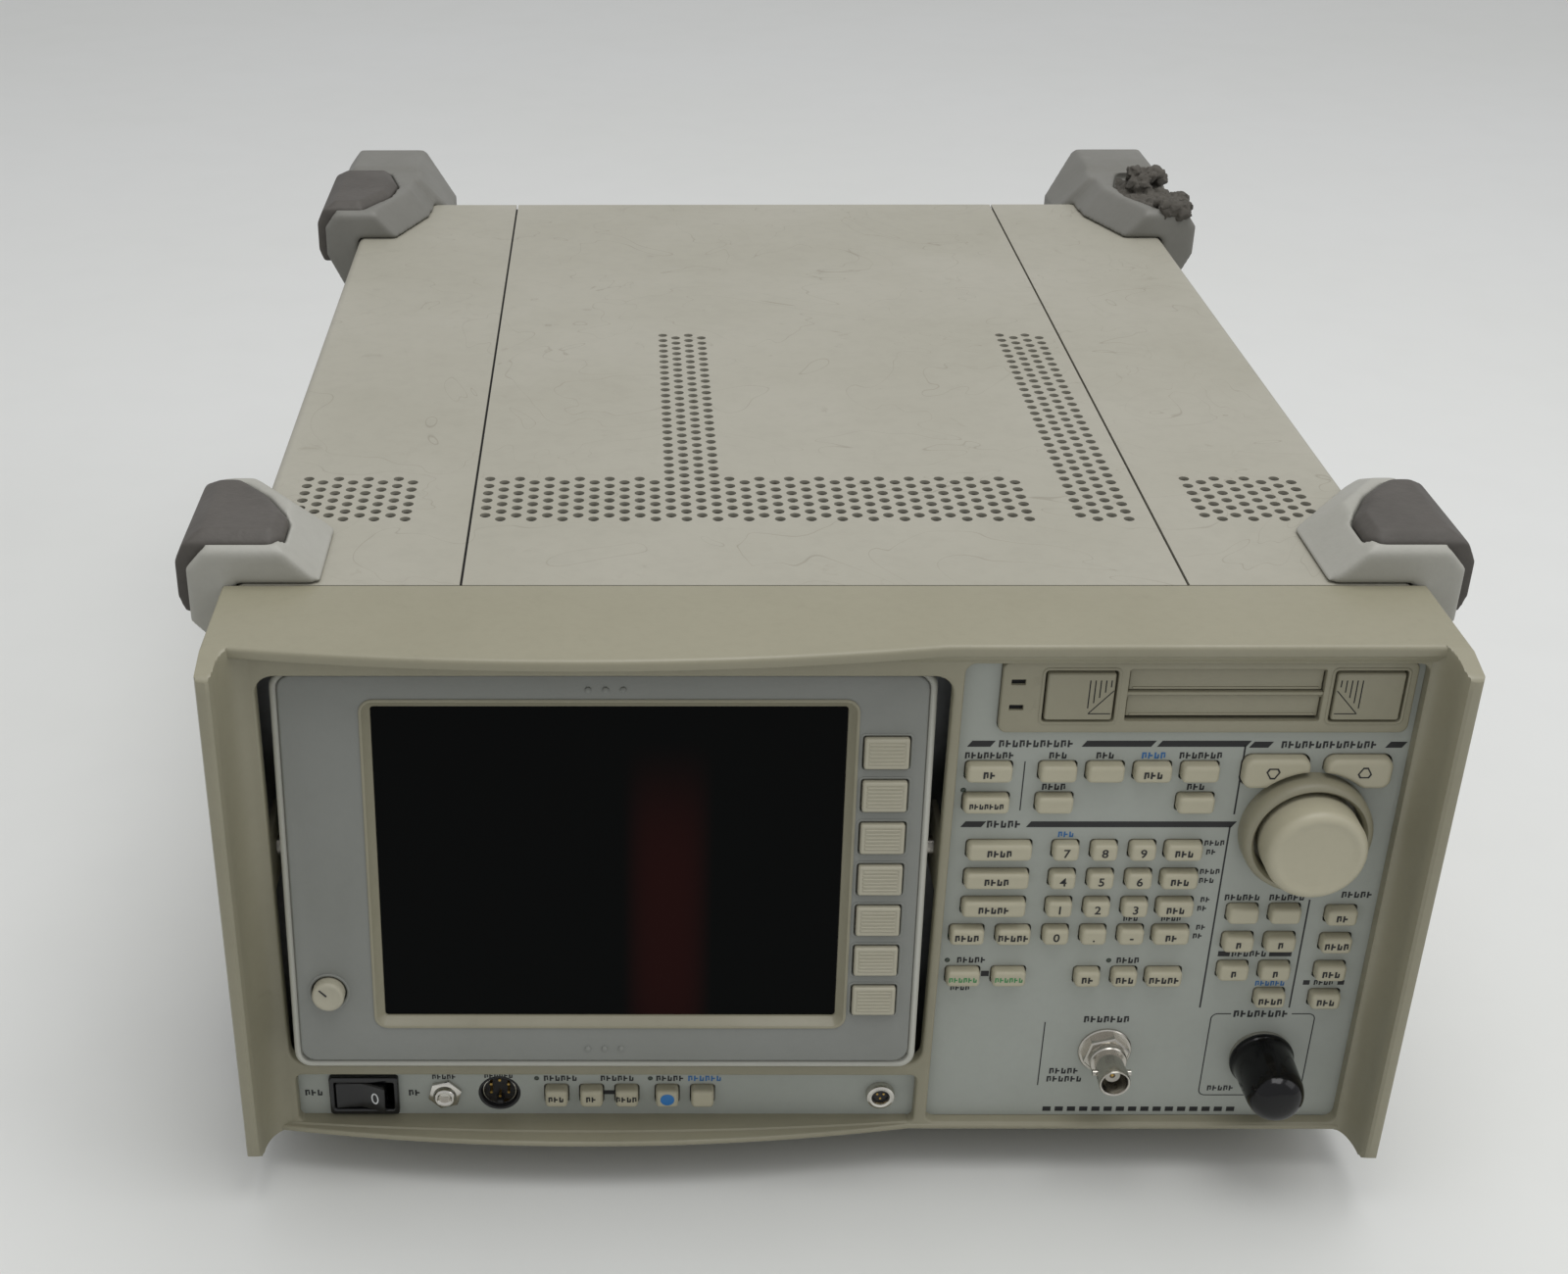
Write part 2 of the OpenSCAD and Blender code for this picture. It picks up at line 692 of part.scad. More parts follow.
module chassis() {
  inner = half_w - 3;
  wall = 1.6;
  color(metal) {
    translate([-inner, body_gap, body_z0 + 1.6]) cube([2 * inner, body_d - 3.2, wall]);
    for (x = [-inner, inner - wall]) translate([x, body_gap, body_z0 + 1.6]) cube([wall, body_d - 3.2, 171]);
    on_front(body_gap, body_gap + wall) difference() {
      edge_rect([-inner, inner, body_z0 + 1.6, body_z1 - 4], 0.5);
      edge_rect([-150, 20, 60, 170], 3);
      edge_rect([81, 142, 162, 186], 1);
      edge_rect([60, 150, 30, 58], 2);
    }
    on_front(body_d - 4.6, body_d - 3) difference() {
      edge_rect([-inner, inner, body_z0 + 1.6, body_z1 - 4], 0.5);
      edge_rect([-inner + 9, inner - 9, body_z0 + 12, body_z1 - 14], 1);
      for (p = screw_places) translate(p) circle(screw_r + 0.05);
    }
  }
}

fan_x = -95;
fan_z = 105;
fan_r = 37;
inlet_x = 105;
inlet_z = 45;
rear_bnc_x = [-20, 5, 30, 55];
rear_bnc_z = 155;
bus_x = 30;
bus_z = 122;

module rear_panel() {
  color(cover_grey) on_front(body_d - 2.9, body_d - 1.2) difference() {
    edge_rect([-half_w + 2, half_w - 2, body_z0 + 1.6, body_z1 - 2], 1);
    translate([fan_x, fan_z]) intersection() {
      for (r = [8:7:36]) difference() {
        circle(r + 4.5);
        circle(r);
      }
      difference() {
        circle(fan_r);
        for (a = [0, 45, 90, 135]) rotate(a) square([2 * fan_r, 3], center = true);
      }
    }
    translate([inlet_x, inlet_z]) round_rect(28, 21, 2);
    for (x = rear_bnc_x) translate([x, rear_bnc_z]) circle(5);
    translate([bus_x, bus_z]) round_rect(54, 12, 1);
    for (p = screw_places) translate(p) circle(screw_r + 0.15);
  }
}

module cover_screws() {
  color(metal) for (p = screw_places) translate([p[0], body_d - 1.2, p[1]]) rotate([-90, 0, 0]) {
    difference() {
      cylinder(r = 3, h = 1.8);
      for (a = [0, 90]) rotate(a) translate([-2, -0.35, 1]) cube([4, 0.7, 1]);
    }
    translate([0, 0, -7]) cylinder(r = screw_r, h = 7);
  }
}

// ---- Corner guards and pads ------------------------------------------------------------------
// Each guard is drawn for the upper left corner and mirrored to the other three.

guard_out = half_w + guard_side;
guard_top = body_z1 + guard_t;
guard_low = body_z1 - 27;
guard_foot = body_z1 + 1;
rear_front = body_d - 52;
rear_back = body_d + rear_reach;
rear_top = guard_top + rear_rise;

// Block whose plan (x, y), side (y, z) and front (x, z) outlines are the three children.
module three_way() {
  intersection() {
    linear_extrude(400) children(0);
    on_side(-260, -90) children(1);
    on_front(-10, 480) children(2);
  }
}

// Space above a plane that rises inwards, to the left of the line from a to b, from height z.
module above_slope(a, b, z, rise, over = 60) {
  run = b - a;
  translate([a[0], a[1], z]) rotate([0, 0, atan2(run[1], run[0])]) rotate([rise, 0, 0])
    translate([-over, -40, 0]) cube([norm(run) + 2 * over, 120, 60]);
}

module front_guard_block() {
  diagonal = [[-144.5, 34], [-172, guard_len]];
  difference() {
    three_way() {
      polygon([
        [-guard_out, 0.3], [-150, 0.3], [-146, 3.5], [-144, 12], diagonal[0], diagonal[1],
        [-guard_out, guard_len]
      ]);
      polygon([
        [0.3, guard_low], [0.3, guard_top - 2], [2.5, guard_top], [52, guard_top],
        [guard_len, guard_top - 8], [guard_len, guard_low + 24], [44, guard_low]
      ]);
      polygon([
        [-half_w, guard_low], [-guard_out, guard_low + 15], [-guard_out, guard_top - 7],
        [-guard_out + 6, guard_top], [-159.5, guard_top], [-148, guard_foot], [-143, guard_foot - 1],
        [-143, guard_low]
      ]);
    }
    above_slope(diagonal[0], diagonal[1], guard_foot, 42);
  }
}

module rear_guard_block() {
  corner = [-156.5, rear_front];
  knee = [-144.2, rear_front + 33];
  inner = [-143.6, body_d + body_gap];
  difference() {
    three_way() {
      polygon([
        [-guard_out, rear_front], corner, knee, inner, [-136, body_d + body_gap], [-136, rear_back - 22],
        [-152, rear_back], [-guard_out, rear_back]
      ]);
      polygon([
        [rear_front, guard_low + 4], [rear_front, guard_top - 2], [rear_front + 2.5, guard_top],
        [body_d + 11, guard_top], [body_d + 15, rear_top], [rear_back - 4, rear_top],
        [rear_back, rear_top - 4], [rear_back, guard_low + 16], [rear_back - 8, guard_low - 8],
        [rear_front + 24, guard_low - 8]
      ]);
      polygon([
        [-half_w, guard_low - 8], [-guard_out, guard_low + 20], [-guard_out, guard_top - 7],
        [-guard_out + 6, rear_top], [-152, rear_top], [-136, body_z1 - 3], [-136, guard_low - 8]
      ]);
    }
    above_slope(corner, knee, guard_foot, 50);
    above_slope(knee, inner, guard_foot, 50, 0);
  }
}

// Pad wrapped over the guard's outer edge from y0 to y1, pad_t proud of it. rim is its inner outline
// from front to back, as (x, y) points.
module pad_block(y0, y1, rim) {
  out = guard_out + pad_t;
  top = guard_top + pad_t - 1;
  low = guard_low + 12;
  tip = max([for (p = rim) p[0]]);
  difference() {
    three_way() {
      polygon(concat([[-out, y0]], rim, [[-out, y1]]));
      polygon([
        [y0, low + 4], [y0, top - 3], [y0 + 4, top], [y1 - 5, top], [y1, top - 4], [y1, low + 10],
        [y1 - 8, low]
      ]);
      polygon([
        [-guard_out, low - 1], [-out, low + 9], [-out, top - 9], [-out + 2.5, top - 3.5], [-out + 8, top],
        [tip - 3.5, top], [tip, top - 3], [tip, low - 1]
      ]);
    }
    for (i = [0:len(rim) - 2]) above_slope(rim[i], rim[i + 1], top - 3, 42);
  }
}

// Space that the pads leave free on the guard: everything inside this is guard.
module pad_core() {
  translate([-guard_out + 4, -20, 0]) cube([200, 520, guard_top - 4]);
}

module body_space() {
  translate([-half_w - body_gap, -20, body_z0 - body_gap])
    cube([body_w + 2 * body_gap, body_d + 20 + body_gap, body_h + 2 * body_gap]);
}

module front_pad() {
  difference() {
    pad_block(3.8, 50, [[-162, 3.8], [-158.5, 8], [-158.5, 21], [-167, 38], [-177, 50]]);
    pad_core();
  }
}

module rear_pad() {
  front = rear_front + 3.5;
  difference() {
    pad_block(front, front + 58, [
      [-171, front], [-160.5, front + 20], [-158.5, front + 36], [-164, front + 58]
    ]);
    pad_core();
  }
}

module front_guard() {
  difference() {
    front_guard_block();
    front_pad();
    body_space();
  }
}

module rear_guard() {
  difference() {
    rear_guard_block();
    rear_pad();
    body_space();
  }
}

// Copies a corner piece to all four corners of the body's section; setback moves the lower two back.
module four_corners(setback = 0) {
  for (left = [0, 1], lower = [0, 1])
    translate([0, lower * setback, lower * 2 * mid_z]) mirror([0, 0, lower]) mirror([left, 0, 0])
      children();
}

module front_guards() color(guard_grey) four_corners(lower_setback) front_guard();
module rear_guards() color(guard_grey) four_corners() rear_guard();

module guard_pads() color(pad_brown) {
  four_corners(lower_setback) front_pad();
  four_corners() rear_pad();
}

// ---- Inside --------------------------------------------------------------------------------

// Circuit board behind the control panel, with openings for the encoder and the two connectors.
module key_board() {
  color(board_green) on_front(-21, -19.4) difference() {
    edge_rect([41, 167, 23, 160], 1);
    translate([bnc_x, bnc_z]) circle(8);
    translate([input_x, input_z]) circle(10);
    for (x = [45, 163], z = [27, 156]) translate([x, z]) circle(1.6);
  }
}

module main_board() {
  board_z = 60;
  color(board_green) {
    translate([-150, 40, board_z]) cube([185, 180, 1.6]);
    for (i = [0:3], j = [0:2]) translate([-140 + i * 44, 55 + j * 52, board_z + 1.5]) cube([26, 26, 4]);
    translate([-60, 205, board_z + 1.5]) cube([60, 8, 12]);
  }
}

module power_supply() {
  color(metal) difference() {
    translate([-158, 232, 20]) cube([140, 118, 76]);
    translate([-156, 231, 22]) cube([136, 116, 72]);
    for (i = [0:7]) translate([-146 + i * 16, 345, 35]) cube([6, 10, 45]);
  }
}

module rf_module() {
  color(metal) {
    translate([55, 40, 22]) cube([105, 165, 70]);
    for (y = [60:35:165]) translate([62, y, 91.5]) cube([90, 22, 14]);
  }
}

module cooling_fan() {
  color(dark) difference() {
    union() {
      on_front(body_d - 30, body_d - 5) translate([fan_x, fan_z]) difference() {
        round_rect(80, 80, 4);
        circle(fan_r + 1);
        for (x = [-1, 1], z = [-1, 1]) translate([x * 35.8, z * 35.8]) circle(2.2);
      }
      on_front(body_d - 30, body_d - 27) translate([fan_x, fan_z]) {
        circle(15);
        for (a = [45, 135]) rotate(a) square([76, 4], center = true);
      }
    }
    turned_rear(fan_x, body_d - 31, fan_z) polygon([[0, 0], [2 + run_gap, 0], [2 + run_gap, 5], [0, 5]]);
  }
}

// Hub with seven slanted blades on a short shaft in the fan's spider.
module fan_rotor() {
  color(dark) {
    turned_rear(fan_x, body_d - 26, fan_z)
      polygon([[0, -3.6], [2, -3.6], [2, 0], [16, 0], [16, 17], [0, 17]]);
    for (a = [0:360 / 7:359]) translate([fan_x, body_d - 16, fan_z]) rotate([0, a, 0])
      rotate([0, 0, 35]) translate([-8, -0.8, 15]) cube([16, 1.6, fan_r - 16.5]);
  }
}

module mains_inlet() {
  color(dark) translate([inlet_x, 0, inlet_z]) difference() {
    union() {
      on_front(body_d - 1.2, body_d + 1.8) round_rect(48, 26, 3);
      on_front(body_d - 24, body_d - 1.2) round_rect(27, 20, 1.8);
    }
    on_front(body_d - 18, body_d + 3) round_rect(24.4, 16.4, 1.5);
  }
}

// Four bayonet sockets and one ribbon-style bus connector.
module rear_connectors() {
  color(metal) {
    for (x = rear_bnc_x) turned_rear(x, body_d - 1.2, rear_bnc_z) polygon([
      [0, -9], [4.6, -9], [4.6, 0], [7.5, 0], [7.5, 2.5], [4.83, 2.5], [4.83, 13], [4.05, 13],
      [4.05, 3], [2.2, 3], [2.2, 9], [0, 9]
    ]);
    translate([bus_x, 0, bus_z]) difference() {
      union() {
        on_front(body_d - 1.2, body_d + 1) round_rect(74, 16, 2);
        on_front(body_d - 12, body_d + 6) round_rect(52, 10, 2);
      }
      on_front(body_d - 4, body_d + 8) round_rect(48, 6.4, 1);
    }
  }
}

// ---- Nodes ---------------------------------------------------------------------------------

place() front_bezel();
place() control_panel();
place() utility_panel();
place() chassis();
place() top_cover();
place() left_cover();
place() right_cover();
place() bottom_cover();
place() rear_panel();
place() front_guards();
place() rear_guards();
place() guard_pads();
place() display_pivots();
place() display_housing();
place() display_face();
place() lcd_panel();
place() softkey(1);  // softkey_1
place() softkey(2);  // softkey_2
place() softkey(3);  // softkey_3
place() softkey(4);  // softkey_4
place() softkey(5);  // softkey_5
place() softkey(6);  // softkey_6
place() softkey(7);  // softkey_7
place() intensity_knob();
place() tuning_knob();
place() knob_ring();
place() rotary_encoder();
place() power_rocker();
place() power_switch_body();
place() cal_out_connector();
place() input_connector();
place() input_cap();
place() phone_jack();
place() keyboard_socket();
place() probe_power_socket();
place() card_bezel();
place() card_drive();
place() card_door(1);  // upper_card_door
place() card_door(0);  // lower_card_door
place() eject_button(0);  // left_eject_button
place() eject_button(1);  // right_eject_button
place() step_key(-1);  // step_down_key
place() step_key(1);  // step_up_key
place() function_keys();
place() digit_keys();
place() unit_keys();
place() measurement_keys();
place() sweep_keys();
place() screen_keys();
place() marker_keys();
place() utility_keys();
place() key_board();
place() main_board();
place() power_supply();
place() rf_module();
place() cooling_fan();
place() fan_rotor();
place() mains_inlet();
place() rear_connectors();
place() cover_screws();
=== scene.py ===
"""Looks of a bench spectrum analyser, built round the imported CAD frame.

Lengths in this file are millimetres: x to the user's right, y from front to rear, z up.
Shapes are drawn with y = 0 where the covers meet the bezel; when a mesh is made they move
to the frame's origin and become metres. Display parts are drawn flat, with the display's face
in the plane y = 0, and are then tilted into place.
"""
import math
import random

import bmesh
import bpy
from mathutils import Matrix, Vector, noise


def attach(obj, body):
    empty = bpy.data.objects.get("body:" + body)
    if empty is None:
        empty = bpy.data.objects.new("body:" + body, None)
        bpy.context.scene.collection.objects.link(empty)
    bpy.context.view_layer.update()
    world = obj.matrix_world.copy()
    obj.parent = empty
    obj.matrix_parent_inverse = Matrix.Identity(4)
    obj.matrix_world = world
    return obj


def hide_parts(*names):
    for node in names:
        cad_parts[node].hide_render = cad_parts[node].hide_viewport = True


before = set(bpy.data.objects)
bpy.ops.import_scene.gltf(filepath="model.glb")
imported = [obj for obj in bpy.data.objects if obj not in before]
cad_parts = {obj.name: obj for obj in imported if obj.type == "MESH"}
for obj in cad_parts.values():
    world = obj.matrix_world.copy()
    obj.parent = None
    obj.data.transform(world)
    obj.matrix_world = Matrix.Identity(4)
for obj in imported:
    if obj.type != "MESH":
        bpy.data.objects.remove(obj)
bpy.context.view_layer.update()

MM = 0.001
TAU = 2 * math.pi

# the drawing's y = 0 plane is this far in front of the frame's origin
MID_Y = 191.9


def to_frame(bm):
    """Moves a mesh from the drawing position in millimetres to the frame in metres."""
    bmesh.ops.translate(bm, vec=(0, -MID_Y, 0), verts=bm.verts[:])
    bmesh.ops.scale(bm, vec=(MM, MM, MM), verts=bm.verts[:])


# ---- Main planes, as in the CAD part -------------------------------------------------------

BODY_Z1 = 192.0
BEZEL_Z0, BEZEL_HALF = 17.5, 176.5
FASCIA_Y, PANEL_Y, WING_Y, LIP_Y = -36.0, -32.0, -52.0, -38.5
BULGE, BULGE_RIGHT, BULGE_LEFT = 8.9, 31.5, -173.0
DISPLAY_OPEN = (-163.0, 34.4, 43.0, 181.0)
STRIP_OPEN = (-161.8, 33.4, 20.0, 38.8)
CONTROL_OPEN = (37.4, 167.5, 20.0, 185.0)
EAR_T = 2.0
TILT, PIVOT_Y, PIVOT_Z, FACE_AHEAD = 6.0, -22.0, 116.0, 17.5
STRIP_Z = 28.7
ROCKER_X, PHONE_X, SOCKET_X, PROBE_X = -141.0, -115.4, -98.1, 22.8
SEAM_X = (-106.5, 106.8)
KEY_FRONT = PANEL_Y - 3.5
KEY_BACK = -26.5
KEY_H = 5.7
KNOB = (141.3, 128.6)
BNC = (92.1, 46.2)
INPUT = (141.0, 44.0)

DISPLAY_MATRIX = (
    Matrix.Translation((0, PIVOT_Y, PIVOT_Z))
    @ Matrix.Rotation(math.radians(-TILT), 4, "X")
    @ Matrix.Translation((0, -FACE_AHEAD, 0))
)


# ---- Materials -----------------------------------------------------------------------------

def srgb(r, g, b):
    """Linear colour from 0-255 display values."""
    def lin(v):
        v = v / 255.0
        return v / 12.92 if v <= 0.04045 else ((v + 0.055) / 1.055) ** 2.4
    return (lin(r), lin(g), lin(b), 1.0)


def fill(node, values):
    """Sets a node's inputs by name."""
    for key, value in values.items():
        node.inputs[key].default_value = value


def mapped(tree, source, low, high, a, b, kind="LINEAR"):
    """A socket's range low to high, mapped onto a to b."""
    node = tree.nodes.new("ShaderNodeMapRange")
    node.interpolation_type = kind
    fill(node, {"From Min": low, "From Max": high, "To Min": a, "To Max": b})
    tree.links.new(source, node.inputs["Value"])
    return node.outputs["Result"]


def combined(tree, operation, a, b):
    """Sum done on socket a and on b, which is another socket or a number."""
    node = tree.nodes.new("ShaderNodeMath")
    node.operation = operation
    tree.links.new(a, node.inputs[0])
    if isinstance(b, float):
        node.inputs[1].default_value = b
    else:
        tree.links.new(b, node.inputs[1])
    return node.outputs[0]


def surface(name, colour, rough=0.5, metal=0.0, grain=900.0, depth=0.03, blotch=0.07,
            blotch_scale=22.0, dirt=0.0, coat=0.0, streak=0.0, specular=0.5):
    """A procedural finish: mottled colour, uneven gloss, fine grain and optional grime."""
    m = bpy.data.materials.new(name)
    m.use_nodes = True
    t = m.node_tree
    n, link = t.nodes, t.links.new
    bsdf = n["Principled BSDF"]
    fill(bsdf, {"Roughness": rough, "Metallic": metal, "Coat Weight": coat, "Coat Roughness": 0.12,
                "Specular IOR Level": specular})
    coord = n.new("ShaderNodeTexCoord")

    def speckle(scale, detail=4.0, rough_=0.55, distort=0.0):
        tex = n.new("ShaderNodeTexNoise")
        fill(tex, {"Scale": scale, "Detail": detail, "Roughness": rough_, "Distortion": distort})
        link(coord.outputs["Object"], tex.inputs["Vector"])
        return tex.outputs["Fac"]

    def darken(colour_socket, factor_socket, tint):
        mix = n.new("ShaderNodeMix")
        mix.data_type = "RGBA"
        mix.blend_type = "MULTIPLY"
        link(factor_socket, mix.inputs["Factor"])
        if isinstance(colour_socket, tuple):
            mix.inputs["A"].default_value = colour_socket
        else:
            link(colour_socket, mix.inputs["A"])
        mix.inputs["B"].default_value = tint
        return mix.outputs["Result"]

    tint = 1.0 - 2.2 * blotch
    big = speckle(blotch_scale)
    base = darken(colour, mapped(t, big, 0.35, 0.7, 0.0, 1.0), (tint, tint, tint * 0.985, 1))
    fine = speckle(blotch_scale * 14, 3.0)
    tint = 1.0 - blotch
    base = darken(base, mapped(t, fine, 0.45, 0.7, 0.0, 1.0), (tint, tint, tint, 1))
    if dirt > 0:
        spots = speckle(blotch_scale * 5, 6.0, 0.7, 0.8)
        base = darken(base, mapped(t, spots, 0.63, 0.72, 0.0, dirt), (0.42, 0.38, 0.31, 1))
    if streak > 0:
        lines = speckle(blotch_scale * 0.9, 2.0, 0.5, 2.4)
        near = mapped(t, lines, 0.497, 0.4995, 0.0, 1.0)
        far = mapped(t, lines, 0.4995, 0.502, 1.0, 0.0)
        faint = combined(t, "MULTIPLY", combined(t, "MULTIPLY", near, far), streak)
        base = darken(base, faint, (0.55, 0.52, 0.47, 1))
    link(base, bsdf.inputs["Base Color"])
    link(mapped(t, big, 0.3, 0.7, rough - 0.06, rough + 0.08), bsdf.inputs["Roughness"])
    bump = n.new("ShaderNodeBump")
    fill(bump, {"Strength": depth, "Distance": 0.0004})
    link(speckle(grain, 2.0), bump.inputs["Height"])
    link(bump.outputs["Normal"], bsdf.inputs["Normal"])
    return m


MAT = {
    "bezel": surface("bezel_paint", srgb(141, 137, 117), 0.42, blotch=0.03, depth=0.10, dirt=0.10),
    "cover": surface("cover_paint", srgb(158, 155, 142), 0.50, blotch=0.035, depth=0.12, dirt=0.22,
                     streak=0.5, blotch_scale=14),
    "panel": surface("panel_paint", srgb(156, 160, 153), 0.46, blotch=0.02, depth=0.10),
    "face": surface("display_paint", srgb(125, 127, 122), 0.46, blotch=0.02, depth=0.10),
    "guard": surface("guard_plastic", srgb(160, 159, 151), 0.50, blotch=0.03, depth=0.15, dirt=0.10),
    "rear_guard": surface("worn_guard_plastic", srgb(114, 113, 107), 0.52, blotch=0.04, depth=0.15,
                          dirt=0.15),
    "rim": surface("display_rim_paint", srgb(176, 176, 167), 0.40, blotch=0.02, depth=0.08),
    "pad": surface("pad_rubber", srgb(78, 74, 69), 0.62, blotch=0.10, depth=0.35, dirt=0.35, grain=500),
    "torn": surface("torn_rubber", srgb(86, 82, 75), 0.85, blotch=0.22, depth=1.0, dirt=0.5, grain=260),
    "key": surface("key_plastic", srgb(174, 169, 147), 0.42, blotch=0.02, depth=0.06),
    "softkey": surface("softkey_plastic", srgb(167, 163, 145), 0.45, blotch=0.02, depth=0.06),
    "steel": surface("sheet_steel", srgb(176, 178, 180), 0.42, metal=1.0, depth=0.08),
    "nickel": surface("nickel_plate", srgb(196, 192, 184), 0.24, metal=1.0, depth=0.03, blotch=0.05),
    "bright": surface("bright_metal", srgb(215, 212, 205), 0.18, metal=1.0, depth=0.03, blotch=0.05),
    "brass": surface("gold_contact", srgb(214, 178, 104), 0.28, metal=1.0, depth=0.02),
    "white": surface("white_insulator", srgb(214, 210, 200), 0.5, blotch=0.03, depth=0.05),
    "board": surface("board_epoxy", srgb(36, 92, 56), 0.42, blotch=0.08, depth=0.15),
    "chip": surface("chip_epoxy", srgb(34, 34, 36), 0.55, blotch=0.05, depth=0.2),
    "black": surface("black_gloss", srgb(15, 15, 17), 0.22, blotch=0.02, depth=0.03, coat=0.2),
    "cap": surface("cap_vinyl", srgb(4, 4, 6), 0.14, blotch=0.02, depth=0.05, specular=0.35),
    "dark": surface("dark_plastic", srgb(38, 38, 40), 0.50, blotch=0.04, depth=0.15),
    # near-black painted shade, put into holes, grooves, seams and the card drive where only shade falls
    "hollow": surface("painted_recess_shade", srgb(20, 20, 21), 0.8, blotch=0.04, depth=0.1),
    "ink": surface("dark_ink", srgb(26, 26, 28), 0.55, blotch=0.05, depth=0.02),
    "ink_blue": surface("blue_ink", srgb(52, 104, 158), 0.55, blotch=0.04, depth=0.02),
    "ink_green": surface("green_ink", srgb(70, 138, 84), 0.55, blotch=0.04, depth=0.02),
    "ink_white": surface("white_ink", srgb(222, 224, 224), 0.5, blotch=0.03, depth=0.02),
    "blue_key": surface("blue_insert", srgb(40, 112, 176), 0.42, blotch=0.03, depth=0.05),
    "led": surface("lamp_lens", srgb(40, 52, 40), 0.25, blotch=0.05, depth=0.02, coat=0.4),
}


def screen_material():
    """Dark display glass with one faint warm painted reflection, made as a patch of weak emission, and a
    little dust.
    """
    m = surface("screen_glass", srgb(2, 3, 3), 0.06, blotch=0.03, depth=0.0, specular=0.06)
    t = m.node_tree
    bsdf = t.nodes["Principled BSDF"]
    split = t.nodes.new("ShaderNodeSeparateXYZ")
    t.links.new(t.nodes.new("ShaderNodeTexCoord").outputs["Object"], split.inputs["Vector"])

    def hump(axis, centre, spread):
        """1 at the centre, falling smoothly to 0 at the spread on both sides; in metres."""
        off = combined(t, "SUBTRACT", split.outputs[axis], centre)
        square = combined(t, "MULTIPLY", off, off)
        return mapped(t, square, 0.0, spread ** 2, 1.0, 0.0, "SMOOTHSTEP")

    # painted reflection: a faint warm glow drawn where the glass shows a reflection
    patch = combined(t, "MULTIPLY", hump("X", -0.0455, 0.014), hump("Z", 0.098, 0.062))
    bsdf.inputs["Emission Color"].default_value = (1.0, 0.10, 0.07, 1)
    t.links.new(combined(t, "MULTIPLY", patch, 0.010), bsdf.inputs["Emission Strength"])
    return m


MAT["screen"] = screen_material()


# ---- Mesh helpers --------------------------------------------------------------------------

def rounded(w, h, r, steps=6):
    """Outline points of a round-cornered rectangle about (0, 0)."""
    r = max(0.02, min(r, w / 2 - 0.01, h / 2 - 0.01))
    points = []
    corners = ((w / 2 - r, h / 2 - r), (r - w / 2, h / 2 - r), (r - w / 2, r - h / 2), (w / 2 - r, r - h / 2))
    for k, (cx, cz) in enumerate(corners):
        for i in range(steps + 1):
            a = math.pi / 2 * (k + i / steps)
            points.append((cx + r * math.cos(a), cz + r * math.sin(a)))
    return points


def box_shape(cx, cz, w, h, r=1.0, steps=6):
    """A shape is a function from growth to outline points; this one is a round-cornered rectangle."""
    return lambda g: [(cx + x, cz + z) for x, z in rounded(w + 2 * g, h + 2 * g, r + g, steps)]


def edge_shape(e, r):
    return box_shape((e[0] + e[1]) / 2, (e[2] + e[3]) / 2, e[1] - e[0], e[3] - e[2], r)


def disc_shape(cx, cz, r, steps=48):
    return lambda g: [(cx + (r + g) * math.cos(TAU * i / steps), cz + (r + g) * math.sin(TAU * i / steps))
                      for i in range(steps)]


def at(y, points):
    """An outline's points on the plane y."""
    return [(x, y, z) for x, z in points]


def round_edge(front, e):
    """Steps (y, inset) of a quarter-round edge of radius e behind the plane y = front."""
    turns = [math.pi / 2 * i / 3 for i in range(4)]
    return [(front + e * (1 - math.cos(a)), e * (1 - math.sin(a))) for a in turns]


